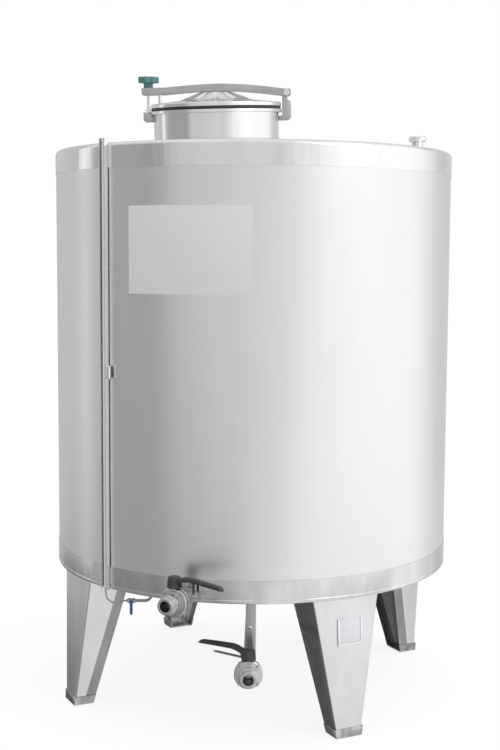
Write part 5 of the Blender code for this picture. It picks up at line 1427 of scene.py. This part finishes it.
def room():
    world = bpy.data.worlds.new("pale_room")
    world.use_nodes = True
    tree = world.node_tree
    tree.nodes.clear()
    place = node(tree, "ShaderNodeTexCoord")
    split = node(tree, "ShaderNodeSeparateXYZ")
    flip = node(tree, "ShaderNodeMath", operation="MULTIPLY")
    flip.inputs[1].default_value = -1.0
    angle = node(tree, "ShaderNodeMath", operation="ARCTAN2")
    share = node(tree, "ShaderNodeMath", operation="MULTIPLY_ADD")
    share.inputs[1].default_value, share.inputs[2].default_value = 1 / (2 * pi), 0.5
    wire(tree, (place.outputs["Generated"], split.inputs[0]), (split.outputs["Y"], flip.inputs[0]),
         (split.outputs["X"], angle.inputs[0]), (flip.outputs[0], angle.inputs[1]),
         (angle.outputs[0], share.inputs[0]))
    low = node(tree, "ShaderNodeMapRange")
    low.inputs["From Min"].default_value, low.inputs["From Max"].default_value = LOW_FADE
    walls = node(tree, "ShaderNodeMix", data_type="RGBA")
    wire(tree, (split.outputs["Z"], low.inputs["Value"]), (low.outputs["Result"], walls.inputs[0]),
         (around(tree, share.outputs[0], LEVEL_ROOM), walls.inputs[6]),
         (around(tree, share.outputs[0], LOW_ROOM), walls.inputs[7]))
    overhead = node(tree, "ShaderNodeMix", data_type="FLOAT")
    up = node(tree, "ShaderNodeMapRange")
    up.inputs["From Min"].default_value, up.inputs["From Max"].default_value = OVERHEAD_FADE
    level = node(tree, "ShaderNodeMath", operation="MULTIPLY")
    level.inputs[1].default_value = ROOM_PEAK
    overhead.inputs[3].default_value = OVERHEAD
    seen = node(tree, "ShaderNodeLightPath")
    directly = node(tree, "ShaderNodeMath", operation="MAXIMUM")
    strength = node(tree, "ShaderNodeMix", data_type="FLOAT")
    strength.inputs[3].default_value = 1.0
    background = node(tree, "ShaderNodeBackground")
    background.inputs["Color"].default_value = (1, 1, 1, 1)
    output = node(tree, "ShaderNodeOutputWorld")
    wire(tree, (walls.outputs[2], level.inputs[0]), (split.outputs["Z"], up.inputs["Value"]),
         (up.outputs["Result"], overhead.inputs[0]), (level.outputs[0], overhead.inputs[2]),
         (seen.outputs["Is Camera Ray"], directly.inputs[0]),
         (seen.outputs["Is Transmission Ray"], directly.inputs[1]),
         (directly.outputs[0], strength.inputs[0]), (overhead.outputs[0], strength.inputs[2]),
         (strength.outputs[0], background.inputs["Strength"]),
         (background.outputs[0], output.inputs["Surface"]))
    return world


scene = bpy.context.scene
scene.world = room()


# %% Floor and lamps
def pale_floor():
    made = bpy.data.materials.new("pale_floor")
    made.use_nodes = True
    tree = made.node_tree
    tree.nodes.clear()
    rays = node(tree, "ShaderNodeLightPath")
    lit = node(tree, "ShaderNodeBsdfDiffuse")
    clouds = noise(tree, (0.6, 0.6, 0.6), detail=2.0)
    tone = node(tree, "ShaderNodeMix", data_type="RGBA")
    tone.inputs[6].default_value = (0.20, 0.20, 0.20, 1)
    tone.inputs[7].default_value = (0.22, 0.22, 0.22, 1)
    glow = node(tree, "ShaderNodeEmission", Strength=0.84)
    glow.inputs["Color"].default_value = (1, 1, 1, 1)
    bounce = node(tree, "ShaderNodeBsdfDiffuse")
    bounce.inputs["Color"].default_value = (0.62, 0.62, 0.62, 1)
    both = node(tree, "ShaderNodeAddShader")
    camera_mix = node(tree, "ShaderNodeMixShader")
    clear = node(tree, "ShaderNodeBsdfTransparent")
    gloss_mix = node(tree, "ShaderNodeMixShader")
    through = node(tree, "ShaderNodeMath", operation="MAXIMUM")
    output = node(tree, "ShaderNodeOutputMaterial")
    wire(tree, (clouds, tone.inputs[0]), (tone.outputs[2], lit.inputs["Color"]),
         (lit.outputs[0], both.inputs[0]),
         (glow.outputs[0], both.inputs[1]), (rays.outputs["Is Camera Ray"], camera_mix.inputs[0]),
         (bounce.outputs[0], camera_mix.inputs[1]), (both.outputs[0], camera_mix.inputs[2]),
         (rays.outputs["Is Glossy Ray"], through.inputs[0]),
         (rays.outputs["Is Transmission Ray"], through.inputs[1]),
         (through.outputs[0], gloss_mix.inputs[0]),
         (camera_mix.outputs[0], gloss_mix.inputs[1]), (clear.outputs[0], gloss_mix.inputs[2]),
         (gloss_mix.outputs[0], output.inputs["Surface"]))
    return made


FLOOR_HALF, FLOOR_BELOW = 14, 0.0005
floor_bm = bmesh.new()
bmesh.ops.create_grid(floor_bm, x_segments=4, y_segments=4, size=FLOOR_HALF)
floor = add_object("studio_floor", floor_bm)
floor.location.z = -FLOOR_BELOW
floor.data.materials.append(pale_floor())


def lamp(name, place, target, size, power):
    light = bpy.data.lights.new(name, "AREA")
    light.size, light.energy = size, power
    made = bpy.data.objects.new(name, light)
    made.location = place
    made.rotation_euler = (Vector(target) - Vector(place)).to_track_quat("-Z", "Y").to_euler()
    scene.collection.objects.link(made)


TANK_MIDDLE = (0, 0, 1.0)
lamp("soft_key", (3.2, -2.6, 4.2), TANK_MIDDLE, size=3.0, power=30)
lamp("soft_front", (-1.8, -5.0, 2.6), TANK_MIDDLE, size=6.0, power=10)

# %% Camera
camera = bpy.data.cameras.new("camera")
camera.lens, camera.sensor_width, camera.sensor_fit = 60.92, 36.0, "AUTO"
shot = bpy.data.objects.new("camera", camera)
eye = (-0.0596, -4.1863, 1.4584)
yaw, pitch, roll = 0.0121, 0.0990, 0.0059     # radians; pitch looks down
shot.matrix_world = (Matrix.Translation(eye) @ Matrix.Rotation(-yaw, 4, "Z")
                     @ Matrix.Rotation(pi / 2 - pitch, 4, "X") @ Matrix.Rotation(roll, 4, "Z"))
scene.collection.objects.link(shot)
scene.camera = shot
scene.view_settings.view_transform = "Standard"
